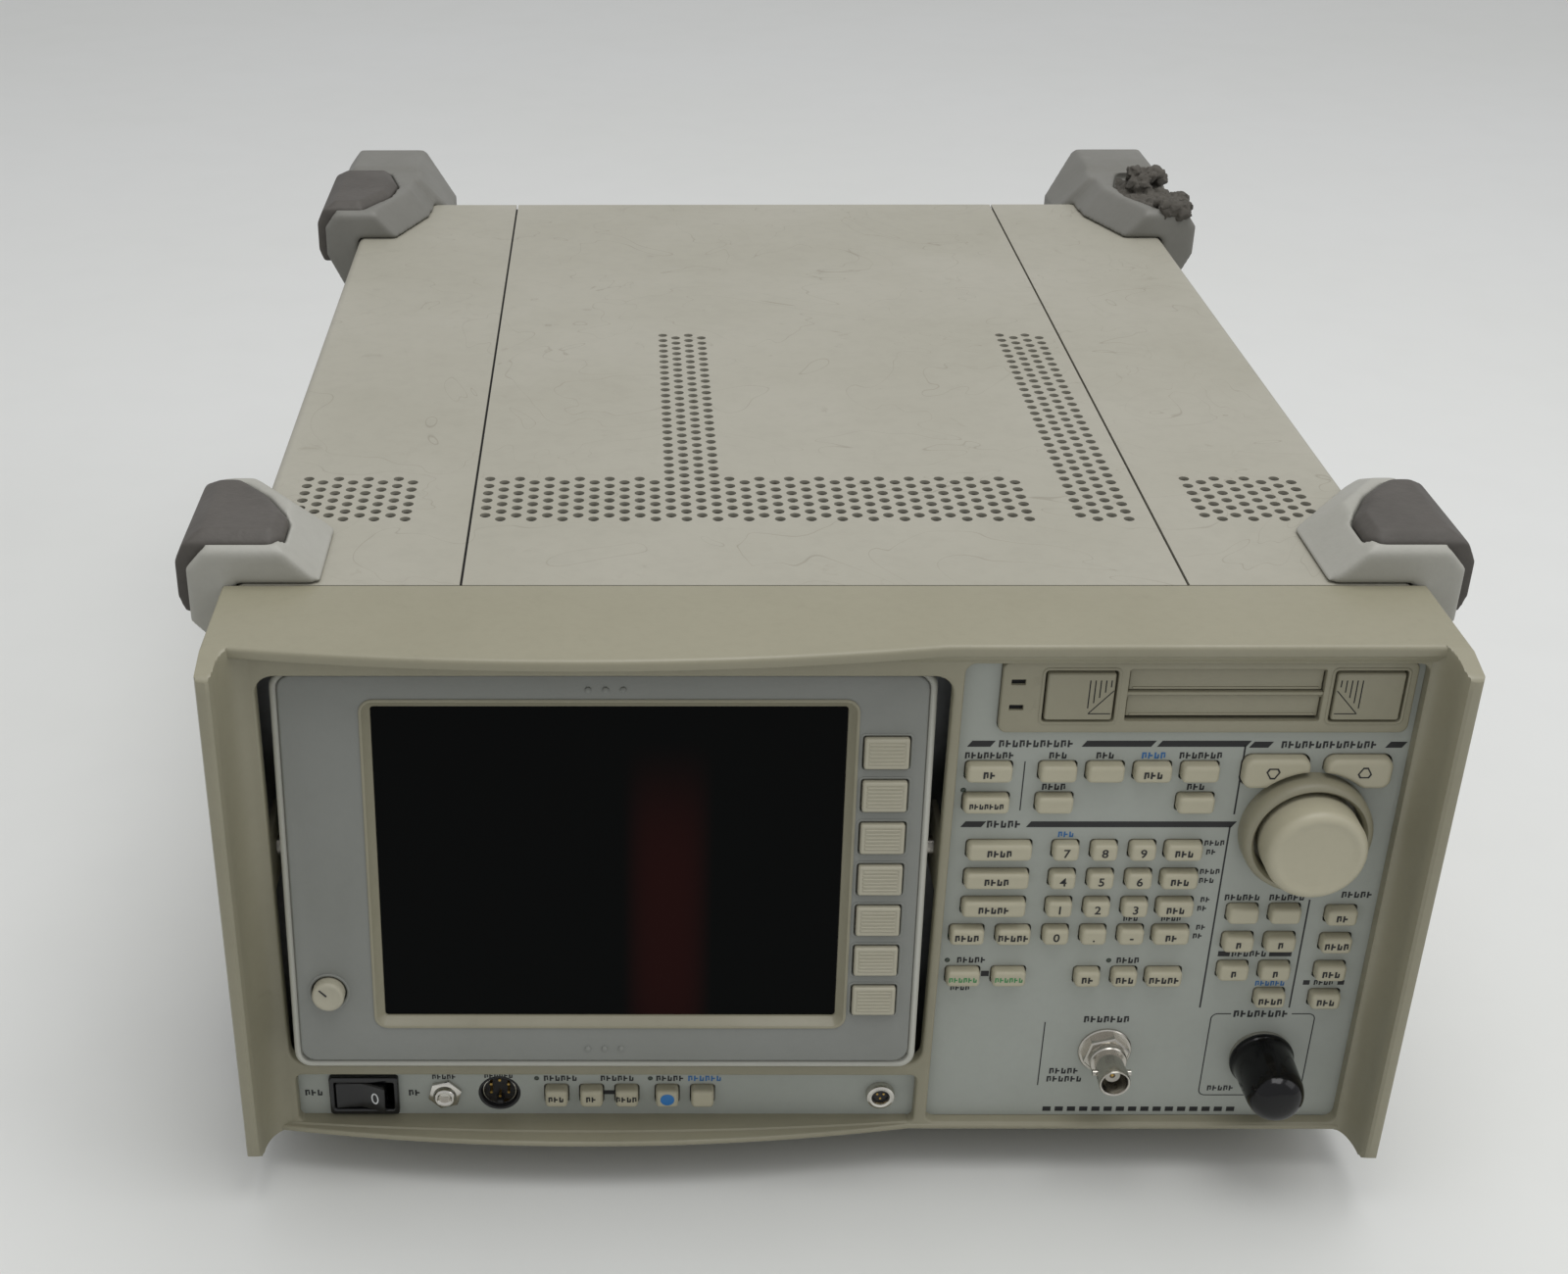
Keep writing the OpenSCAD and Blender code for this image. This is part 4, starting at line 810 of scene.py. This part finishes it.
def panel_marks():
    s = Solid()
    for mark in PANEL_WORDS:
        word(s, *mark)
    for row, (top, low) in enumerate([(4, 2), (4, 3), (2, 2), (2, 2)]):
        z = ROW_Z - row * ROW_PITCH
        word(s, 116.2, z + 1.8, top, 1.8)
        word(s, 115.6, z - 1.4, low, 1.8)
    for x0, x1, z in HEADING_BARS:
        stripe(s, x0, x1, z, 2.0, 1.4)
    for x0, x1, z, thick in [(122.6, 126.2, 83.1, 1.9), (138.2, 145.0, 83.1, 1.9),
                             (150.2, 152.2, 72.3, 1.7), (160.8, 162.8, 72.3, 1.7)]:
        stripe(s, x0, x1, z, thick)
    for x, z0, z1, wide in [(120.4, 133.2, 156.5, 0.5), (119.8, 62.7, 129.2, 0.5), (147.4, 62.7, 103.0, 0.5),
                            (57.5, 134.5, 151.2, 0.35), (72.5, 32.1, 57.0, 0.35)]:
        line(s, x, z0, z1, wide)
    mark_box(s, 51.0, 53.4, 74.6, 76.6)
    for i in range(16):
        mark_box(s, 75.0 + i * 3.9, 77.6 + i * 3.9, 21.6, 23.4)
    # open frame round the input socket
    left, right, low, high = 123.8, 155.9, 28.2, 60.3
    line(s, left, low + 2, high - 2)
    line(s, right, low + 2, high - 2)
    stripe(s, left + 2, right - 2, low, 0.35)
    stripe(s, left + 2, 129.8, high, 0.35)
    stripe(s, 148.6, right - 2, high, 0.35)
    for cx, cz, start in ((left + 2, low + 2, 180), (right - 2, low + 2, 270), (right - 2, high - 2, 0),
                          (left + 2, high - 2, 90)):
        arc = [math.radians(start + 15 * i) for i in range(7)]
        outline = [(cx + 2.17 * math.cos(a), cz + 2.17 * math.sin(a)) for a in arc]
        outline += [(cx + 1.83 * math.cos(a), cz + 1.83 * math.sin(a)) for a in reversed(arc)]
        mark_plate(s, outline)
    # round lamps
    s.mat = 1
    for x, z in [(40.4, 141.5), (40.3, 80.7), (89.6, 80.6)]:
        small_lamp(s, x, z)
    s.mat = 2
    for mark in BLUE_WORDS:
        word(s, *mark)
    s.done("panel_marks", "instrument", ["ink", "led", "ink_blue"], sharp=60)

    s = Solid()
    # strip below the display
    for mark in STRIP_WORDS:
        word(s, *mark)
    mark_box(s, -65.2, -61.2, 28.2, 29.8)
    s.mat = 1
    for x in (-86.2, -50.2):
        small_lamp(s, x, 34.6)
    s.mat = 2
    word(s, -32.8, 34.6, 6, 2.1)
    s.done("strip_marks", "instrument", ["ink", "led", "ink_blue"], sharp=60)


panel_marks()


def key_marks():
    top = KEY_FRONT + 0.02
    digits = []
    rows = ["789", "456", "123", "0.-"]
    for r, row in enumerate(rows):
        for c, text in enumerate(row):
            digits.append((text, DIGIT_X + c * DIGIT_PITCH, ROW_Z - r * ROW_PITCH, 3.0))
    glyphs("digit_marks", "digit_keys", "ink", digits, top)
    counts = {
        "function_keys": [4, 4, 5], "unit_keys": [3, 3, 3, 2],
        "measurement_keys": [0, 0, 3, 0, 0, 0, 2, 7], "sweep_keys": [4, 5, 6, 6, 2, 3, 5],
        "screen_keys": [0, 0, 1, 1, 1, 1, 4], "marker_keys": [2, 4, 3, 3],
    }
    for node, letters in counts.items():
        s = Solid()
        for k, ((x, z, _), count) in enumerate(zip(KEYS[node], letters)):
            s.mat = 1 if node == "sweep_keys" and k in (2, 3) else 0
            if count:
                word(s, x, z, count, 2.2 if count < 6 else 1.7, top + 0.02)
        s.done(node + "_marks", node, ["ink", "ink_green"], sharp=60)
    s = Solid()
    for k, count in ((0, 3), (1, 2), (2, 4)):
        word(s, UTILITY_X[k], STRIP_Z, count, 2.0, top + 0.02)
    s.done("utility_keys_marks", "utility_keys", "ink", sharp=60)
    for node, x, up in (("step_down_key", 128.6, -1), ("step_up_key", 155.0, 1)):
        s = Solid()
        shape = lambda g: [(x + (2.1 + g * 1.7) * math.sin(TAU * i / 3 + 0.35 * k),
                            STEP_Z + 0.6 + up * (2.1 + g * 1.7) * math.cos(TAU * i / 3 + 0.35 * k))
                           for i in range(3) for k in (-1, 1)]
        s.sweep(shape, [(0, top - 0.05), (0, top + 0.1), (-0.32, top + 0.1), (-0.32, top - 0.05)])
        s.done(node + "_mark", node, "ink", sharp=60)


key_marks()


# ---- Knob and its ring ---------------------------------------------------------------------

def knob():
    s = Solid()
    s.turned(*KNOB, [(3, -7), (3, 1), (14.2, 1), (14.2, 3.4), (14.6, 5), (14.7, 7), (14.7, 14.0),
                     (14.5, 15.0), (14.0, 15.9), (13.3, 16.5), (12.4, 16.8), (11.6, 16.7), (10.9, 16.4),
                     (9.6, 16.2), (0.1, 16.1)], 96)
    s.done("tuning_knob_cap", "tuning_knob", "key", ("tuning_knob",), sharp=45)
    s = Solid()
    s.turned(*KNOB, [(0.1, 0.2), (15.4, 0.3), (15.7, 5.6), (16.1, 6.7), (16.8, 7.4), (17.6, 7.3),
                     (18.4, 6.5), (18.9, 5.2), (19.0, 3.6), (19.0, -0.1), (0.1, -0.1)], 96)
    s.done("knob_ring_trim", "instrument", "bezel", ("knob_ring",), sharp=45)


knob()


# ---- Memory card slots ---------------------------------------------------------------------

CARD_EDGE = (48.3, 165.2, 161.8, 184.8)
SLOT_EDGE = (84.0, 139.4, 165.6, 182.4)
CARD_Y = PANEL_Y - 2
EJECT_X, EJECT_Z, EJECT_W, EJECT_H = (70.6, 152.1), 173.8, 19.5, 15.4


def card_slots():
    s = Solid()
    holes = [edge_shape(SLOT_EDGE, 0.8)]
    holes += [box_shape(x, EJECT_Z, EJECT_W + 1.0, EJECT_H + 1.0, 0.9) for x in EJECT_X]
    holes += [box_shape(52.9, z, 4.0, 1.7, 0.2) for z in (170.0, 178.2)]
    s.plate(edge_shape(CARD_EDGE, 2.5), holes, CARD_Y, CARD_Y + 4, 0.5, 0.3)
    for x in EJECT_X:
        s.sweep(box_shape(x, EJECT_Z, EJECT_W + 1.0, EJECT_H + 1.0, 0.9),
                [(1.0, CARD_Y + 0.3), (0.9, CARD_Y - 0.15), (0.5, CARD_Y - 0.3), (0.1, CARD_Y - 0.1),
                 (0, CARD_Y + 0.3)])
    # ledge between the two slots
    s.box((SLOT_EDGE[0] - 0.2, CARD_Y + 0.4, 173.9), (SLOT_EDGE[1] + 0.2, CARD_Y + 4, 174.9), 0.25)
    # near-black boxes behind the two small holes: painted shade inside them
    s.mat = 1
    for z in (170.0, 178.2):
        s.box((50.7, CARD_Y + 1.2, z - 1.0), (55.1, CARD_Y + 3, z + 1.0))
    s.done("card_front", "instrument", ["bezel", "hollow"], ("card_bezel",), sharp=32)

    # embossed slot letters
    letters = [("B", 58.2, 178.2, 2.6), ("A", 58.2, 170.0, 2.6)]
    glyphs("card_letters", "instrument", "bezel", letters, CARD_Y - 0.02)

    for i, x in enumerate(EJECT_X):
        s = Solid()
        f = CARD_Y - 0.6
        s.stack(box_shape(x, EJECT_Z, EJECT_W - 0.2, EJECT_H - 0.2, 0.9),
                [(CARD_Y + 7, 0), (f + 0.8, 0), (f + 0.3, -0.15), (f, -0.5)])
        flip = 1 if i == 0 else -1
        # engraved bars that shorten towards a corner, over a slanting line; they are drawn as near-black
        # marks, painted shade of the grooves
        s.mat = 1
        for k in range(5):
            bx = x + flip * (2.4 + k * 1.5)
            s.box((bx - 0.17, f - 0.03, EJECT_Z - 3.6 + k * 1.7), (bx + 0.17, f + 0.2, EJECT_Z + 5.4))
        a, b = (x + flip * 2.6, EJECT_Z - 5.2), (x + flip * 9.0, EJECT_Z + 2.0)
        s.loft([[(a[0], y, a[1]), (a[0] + 0.4 * flip, y, a[1]), (b[0] + 0.4 * flip, y, b[1]), (b[0], y, b[1])]
                for y in (f - 0.03, f + 0.2)])
        s.box((min(a[0], b[0]), f - 0.03, a[1] - 0.3), (max(a[0], b[0]), f + 0.2, a[1]))
        s.mat = 0
        name = ("left", "right")[i] + "_eject_button"
        s.done(name + "_cap", name, ["bezel", "hollow"], (name,), sharp=32)

    for name, top in (("upper_card_door", 182.1), ("lower_card_door", 173.6)):
        s = Solid()
        x0, x1 = SLOT_EDGE[0] + 0.4, SLOT_EDGE[1] - 0.4
        s.box((x0, PANEL_Y - 0.6, top - 6.9), (x1, PANEL_Y + 0.6, top - 0.25), 0.3)
        s.box((x0 + 1, PANEL_Y - 0.9, top - 6.6), (x1 - 1, PANEL_Y, top - 5.9), 0.2)
        s.rod((x0 - 1.2, PANEL_Y, top - 0.5), (x1 + 1.2, PANEL_Y, top - 0.5), 0.55)
        s.done(name + "_flap", name, "bezel", (name,), sharp=40)


card_slots()


# ---- Sockets and switch --------------------------------------------------------------------

def hexagon(cx, cz, across):
    r = across / math.sqrt(3)
    corners = [math.radians(60 * i + 15) for i in range(6)]
    return lambda g: [(cx + (r + g) * math.cos(a), cz + (r + g) * math.sin(a)) for a in corners]


def sockets():
    s = Solid()
    s.turned(*BNC, [(4.6, -8), (4.6, 0), (8.3, 0), (8.3, 0.7), (8.0, 1.0), (5.0, 1.0), (4.45, 1.1),
                    (4.45, 4.0), (5.6, 4.0), (5.8, 4.3), (5.8, 6.4), (5.5, 6.8), (4.45, 6.9), (4.45, 12.6),
                    (4.83, 12.8), (4.83, 16.6), (4.6, 17), (4.25, 17), (4.05, 16.8), (4.05, 6),
                    (0.1, 6)], 64)
    s.stack(hexagon(*BNC, 12.7), [(PANEL_Y - 1.0, 0), (PANEL_Y - 3.6, 0), (PANEL_Y - 4.0, -0.5)])
    for side in (-1, 1):
        ends = [(BNC[0] + side * reach, PANEL_Y - 11.4, BNC[1]) for reach in (4.4, 5.9)]
        s.rod(*ends, 1.0, 20)
    s.mat = 1
    s.turned(*BNC, [(2.3, 5.9), (2.3, 13.0), (0.9, 13.0), (0.9, 6.2), (0.1, 6.1)], 32)
    s.mat = 2
    s.turned(*BNC, [(0.65, 6), (0.65, 12.4), (0.45, 12.7), (0.1, 12.7)], 20)
    s.done("cal_out_socket", "instrument", ["nickel", "white", "brass"], ("cal_out_connector",), sharp=35)

    s = Solid()
    thread = [(7.9 if i % 2 else 7.5, 2.2 + i * 0.45) for i in range(27)]
    s.turned(*INPUT, [(6.2, -10), (6.2, 0), (9.5, 0), (9.5, 1.2), (9.2, 1.4), (7.9, 1.4)]
            + thread
            + [(7.4, 16), (6.9, 17), (4.3, 17), (4.1, 16.6), (4.1, 6), (0.1, 6)], 64)
    s.mat = 1
    s.turned(*INPUT, [(1.6, 5.9), (1.6, 12), (0.1, 12)], 24)
    s.done("input_socket", "instrument", ["nickel", "brass"], ("input_connector",), sharp=35)

    s = Solid()
    s.turned(*INPUT, [(8.0, 1.7), (9.7, 1.6), (10.0, 2.0), (10.0, 2.8), (9.7, 3.4), (9.35, 3.9), (9.2, 6),
                      (8.95, 14), (8.8, 18), (8.5, 20), (7.9, 21.8), (6.9, 23.2), (5.5, 24.3), (3.8, 24.9),
                      (1.8, 25.15), (0.1, 25.2), (0.1, 22), (5.5, 21), (8.0, 18)], 72)
    s.done("input_cap_skin", "input_cap", "cap", ("input_cap",), sharp=50)

    s = Solid()
    s.stack(hexagon(PHONE_X, STRIP_Z, 9.4), [(PANEL_Y, 0), (PANEL_Y - 1.3, 0), (PANEL_Y - 1.6, -0.5)])
    s.turned(PHONE_X, STRIP_Z, [(3.0, -10), (3.0, 1.4), (3.7, 1.5), (3.7, 2.0), (3.3, 3.0), (2.9, 3.3),
                                (2.4, 3.3), (1.9, 2.8), (1.8, -8), (0.1, -8)], 48)
    # near-black core in the bore: painted shade inside the jack
    s.mat = 1
    s.turned(PHONE_X, STRIP_Z, [(1.75, -7.9), (1.75, 0.2), (0.1, 0.2)], 24)
    s.done("phone_socket", "instrument", ["bright", "hollow"], ("phone_jack",), sharp=35)

    s = Solid()
    s.turned(SOCKET_X, STRIP_Z, [(0.1, -10), (6.5, -10), (6.5, 0.1), (6.2, 0.3), (5.9, 0.1), (5.8, -5),
                                 (0.1, -5.2)], 64)
    s.box((SOCKET_X - 1, PANEL_Y + 1.5, STRIP_Z - 5.9), (SOCKET_X + 1, PANEL_Y + 5.2, STRIP_Z - 4.3), 0.2)
    s.mat = 1
    s.sweep(disc_shape(SOCKET_X, STRIP_Z, 5.3), [
        (0.0, PANEL_Y + 1.2), (-0.25, PANEL_Y + 1.2), (-0.25, PANEL_Y + 5.1), (0.0, PANEL_Y + 5.1)])
    s.mat = 2
    for i in range(6):
        a = math.radians(30 + 60 * i)
        x, z = SOCKET_X + 3.2 * math.cos(a), STRIP_Z + 3.2 * math.sin(a)
        s.rod((x, PANEL_Y + 5.2, z), (x, PANEL_Y + 2.2, z), 0.45, 12)
    s.done("keyboard_socket_body", "instrument", ["dark", "bright", "brass"], ("keyboard_socket",), sharp=35)

    s = Solid()
    s.turned(PROBE_X, STRIP_Z, [(3.4, -9), (3.4, 0), (4.6, 0), (4.6, 1.6), (4.3, 2.3), (3.6, 2.6),
                                (2.9, 2.4), (2.6, 1.8), (2.6, -4), (0.1, -4)], 48)
    s.mat = 1
    s.turned(PROBE_X, STRIP_Z, [(2.5, -3.9), (2.5, 0.8), (2.2, 1.0), (0.1, 1.0)], 32)
    s.mat = 2
    for dx, dz in ((-1.0, 0.6), (1.0, 0.6), (0, -1.1)):
        x, z = PROBE_X + dx, STRIP_Z + dz
        s.rod((x, PANEL_Y - 0.6, z), (x, PANEL_Y - 1.3, z), 0.35, 12)
    s.done("probe_socket", "instrument", ["bright", "dark", "brass"], ("probe_power_socket",), sharp=35)

    s = Solid()
    outer = box_shape(ROCKER_X, STRIP_Z, 22.0, 14.8, 1.2)
    inner = box_shape(ROCKER_X, STRIP_Z, 18.6, 10.4, 0.5)
    s.tube(outer, inner, PANEL_Y - 2.0, PANEL_Y + 16, 0.6)
    s.stack(box_shape(ROCKER_X, STRIP_Z, 18.8, 10.8, 0.4), [(PANEL_Y + 14, 0), (PANEL_Y + 10, 0)])
    s.done("switch_housing", "instrument", "black", ("power_switch_body",), sharp=35)

    # rocker, drawn level about its pin and then tipped with its left half pressed in
    s = Solid()
    section = [(-8, -7.0), (-7.7, -7.25), (-4, -6.2), (0, -5.4), (4, -6.2), (7.7, -7.25), (8, -7.0),
               (8, -3), (3, 2.4), (-3, 2.4), (-8, -3)]
    loops = []
    for dz, shrink in ((-5.0, 0.5), (-4.6, 0.0), (4.6, 0.0), (5.0, 0.5)):
        loops.append([(x * (1 - shrink / 12), y + (shrink if y < -5 else 0), dz) for x, y in section])
    s.loft(loops)
    s.rod((0, 0, -6), (0, 0, 6), 1.0)
    s.mat = 1
    dish = lambda x: -5.4 - 1.6 * x / 7.7
    loops = []
    for g, lift in ((0, 0.1), (0, -0.14), (-0.45, -0.14), (-0.45, 0.1)):
        ring = [(4.6 + (1.25 + g) * math.cos(TAU * i / 32), (2.1 + g) * math.sin(TAU * i / 32))
                for i in range(32)]
        loops.append([(x, dish(x) + lift, z) for x, z in ring])
    s.loft(loops, closed=True)
    tipped = Matrix.Translation((ROCKER_X, PANEL_Y + 4, STRIP_Z)) @ Matrix.Rotation(math.radians(-9), 4, "Z")
    s.done("power_rocker_cap", "power_rocker", ["black", "ink_white"], ("power_rocker",), tipped, 35)


sockets()


# ---- Corner guards and pads ----------------------------------------------------------------

def voxel_skin(ob, size):
    """Rebuilds a mesh as one even skin."""
    skin = ob.modifiers.new("skin", "REMESH")
    skin.mode = "VOXEL"
    skin.voxel_size = size * MM


def moulded(node, mat, voxel, passes, keep=None, shrink=0.0):
    """A CAD node's own shape with the soft edges of a moulding."""
    name = node + "_look"
    mesh = mesh_from(loose_from(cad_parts[node].data, keep), name)
    mesh.materials.clear()
    ob = dress(mesh, name, "instrument", mat, (node,), 180)
    voxel_skin(ob, voxel)
    soft = ob.modifiers.new("soft", "SMOOTH")
    soft.factor = 0.5
    soft.iterations = passes
    if shrink:
        inward = ob.modifiers.new("inward", "DISPLACE")
        inward.strength = -shrink * MM
        inward.mid_level = 0.0
    fewer = ob.modifiers.new("fewer", "DECIMATE")
    fewer.ratio = 0.3
    apply_modifiers(ob)
    ob.data.shade_smooth()


def guards():
    moulded("front_guards", "guard", 1.0, 7)
    moulded("rear_guards", "rear_guard", 1.0, 7)
    whole = lambda c: not (c.x > 0 and c.y > 100 and c.z > 100)
    moulded("guard_pads", "pad", 0.9, 8, whole, 0.25)


guards()


def torn_pad():
    """What is left of the pad on the upper right rear guard: a thin layer and two ragged lumps."""
    rnd = random.Random(5)
    # noise takes its seed from the clock unless it is given one
    noise.seed_set(5)
    bm = bmesh.new()

    def blob(x, y, z, r, flat=0.8):
        place = Matrix.Translation((x, y, z)) @ Matrix.Diagonal((r, r * rnd.uniform(0.75, 1.25), r * flat, 1))
        bmesh.ops.create_icosphere(bm, subdivisions=2, radius=1.0, matrix=place)

    # thin layer on the recess floor, up to the rim that the pad had
    rim = [(344.5, 171.0), (364.5, 160.5), (380.5, 158.5), (402.5, 164.0)]
    for (y0, x0), (y1, x1) in zip(rim, rim[1:]):
        for i in range(5):
            y = y0 + (y1 - y0) * i / 5
            inner = x0 + (x1 - x0) * i / 5
            for k in range(7):
                x = inner + 2.5 + (180.5 - inner) * k / 7
                blob(x, y + rnd.uniform(0, 2), 200.3 + rnd.uniform(-0.6, 0.8), rnd.uniform(2.6, 3.8), 0.5)
    # outer side of the pad, broken off along its upper edge
    for i in range(22):
        blob(184.6, 350 + 2.1 * i, 195 - rnd.uniform(0, 12), rnd.uniform(3.0, 4.2), 1.4)
    lumps = [(174.0, 386.0, 206.0, 6.5, 9.0, 22), (177.5, 347.5, 203.5, 4.5, 5.0, 16),
             (183.0, 362.0, 200.5, 3.0, 7.0, 10)]
    for cx, cy, cz, wide, long, count in lumps:
        for _ in range(count):
            blob(cx + rnd.uniform(-wide, wide), cy + rnd.uniform(-long, long), cz + rnd.uniform(-3.5, 2.5),
                 rnd.uniform(2.2, 4.4))
    to_frame(bm)
    ob = dress(mesh_from(bm, "torn_pad"), "torn_pad", "instrument", "torn", (), 180)
    voxel_skin(ob, 0.7)
    apply_modifiers(ob)
    for v in ob.data.vertices:
        p = v.co / MM
        v.co += Vector(noise.noise_vector(p * 0.35)) * 1.3 * MM
        v.co += Vector(noise.noise_vector(p * 1.1)) * 0.6 * MM
    ob.data.shade_smooth()


torn_pad()


def seam_shade_strips():
    """Dark strips under the two joints of the top cover: painted shade in the seams."""
    s = Solid()
    for x in SEAM_X:
        s.box((x - 6, 1.0, BODY_Z1 - 2.6), (x + 6, 391.0, BODY_Z1 - 1.4), 0.2)
    s.done("seam_shade_strips", "instrument", "hollow", sharp=40)


seam_shade_strips()


# ---- Covers, panels and the inside, shown as the CAD draws them ----------------------------

# the card drive is shown in the near-black painted shade of a recess
for node_name, finish in {
    "control_panel": "panel", "utility_panel": "panel", "chassis": "steel", "top_cover": "cover",
    "left_cover": "cover", "right_cover": "cover", "bottom_cover": "cover", "rear_panel": "cover",
    "display_pivots": "nickel", "rotary_encoder": "nickel", "card_drive": "hollow", "key_board": "board",
    "main_board": "board", "power_supply": "steel", "rf_module": "steel", "cooling_fan": "dark",
    "fan_rotor": "dark", "mains_inlet": "black", "rear_connectors": "nickel", "cover_screws": "nickel",
}.items():
    paint_node(node_name, finish)


# ---- Floor, light and camera ---------------------------------------------------------------

def studio():
    bm = bmesh.new()
    half = 6.0
    corners = [(-half, -half, 0), (half, -half, 0), (half, half, 0), (-half, half, 0)]
    bm.faces.new([bm.verts.new(c) for c in corners])
    floor = add("floor", mesh_from(bm, "floor"))
    floor.data.materials.append(surface("pale_floor", srgb(220, 221, 219), 0.55, blotch=0.012,
                                        blotch_scale=1.6, depth=0.05, grain=300))

    def lamp(name, place, target, size, power, tone=(1, 1, 1)):
        data = bpy.data.lights.new(name, "AREA")
        data.shape = "RECTANGLE"
        data.size, data.size_y = size
        data.energy = power
        data.color = tone
        ob = add(name, data)
        ob.location = place
        ob.rotation_euler = (Vector(target) - Vector(place)).to_track_quat("-Z", "Y").to_euler()

    lamp("ceiling_light", (0.2, -0.2, 1.7), (0.02, -0.14, 0.1), (1.5, 1.1), 16)
    lamp("window_light", (1.7, -0.75, 1.35), (0, -0.19, 0.1), (1.2, 1.2), 4.5, (0.99, 0.99, 1.0))
    world = bpy.data.worlds.new("studio")
    world.use_nodes = True
    sky = world.node_tree.nodes["Background"]
    sky.inputs["Color"].default_value = (0.98, 0.985, 1.0, 1)
    sky.inputs["Strength"].default_value = 0.58
    bpy.context.scene.world = world


studio()


def camera():
    """The camera of the pictured view: above and in front, a little to the left of the centre line."""
    pitch, yaw, roll = math.radians(29.87), math.radians(-0.35), math.radians(-0.16)
    place = Vector((-58.9, -568.0 - MID_Y, 467.8)) * MM
    ahead = Vector((math.sin(yaw) * math.cos(pitch), math.cos(yaw) * math.cos(pitch), -math.sin(pitch)))
    right = Vector((math.cos(yaw), -math.sin(yaw), 0))
    up = right.cross(ahead)
    right, up = (right * math.cos(roll) + up * math.sin(roll), up * math.cos(roll) - right * math.sin(roll))
    data = bpy.data.cameras.new("camera")
    data.sensor_width = 36.0
    data.lens = 49.34
    data.shift_x, data.shift_y = 0.11, 0.0625
    data.clip_start, data.clip_end = 0.01, 50
    ob = add("camera", data)
    turn = Matrix((right, up, -ahead)).transposed()
    ob.matrix_world = Matrix.Translation(place) @ turn.to_4x4()
    bpy.context.scene.camera = ob


camera()
bpy.context.scene.view_settings.view_transform = "Standard"
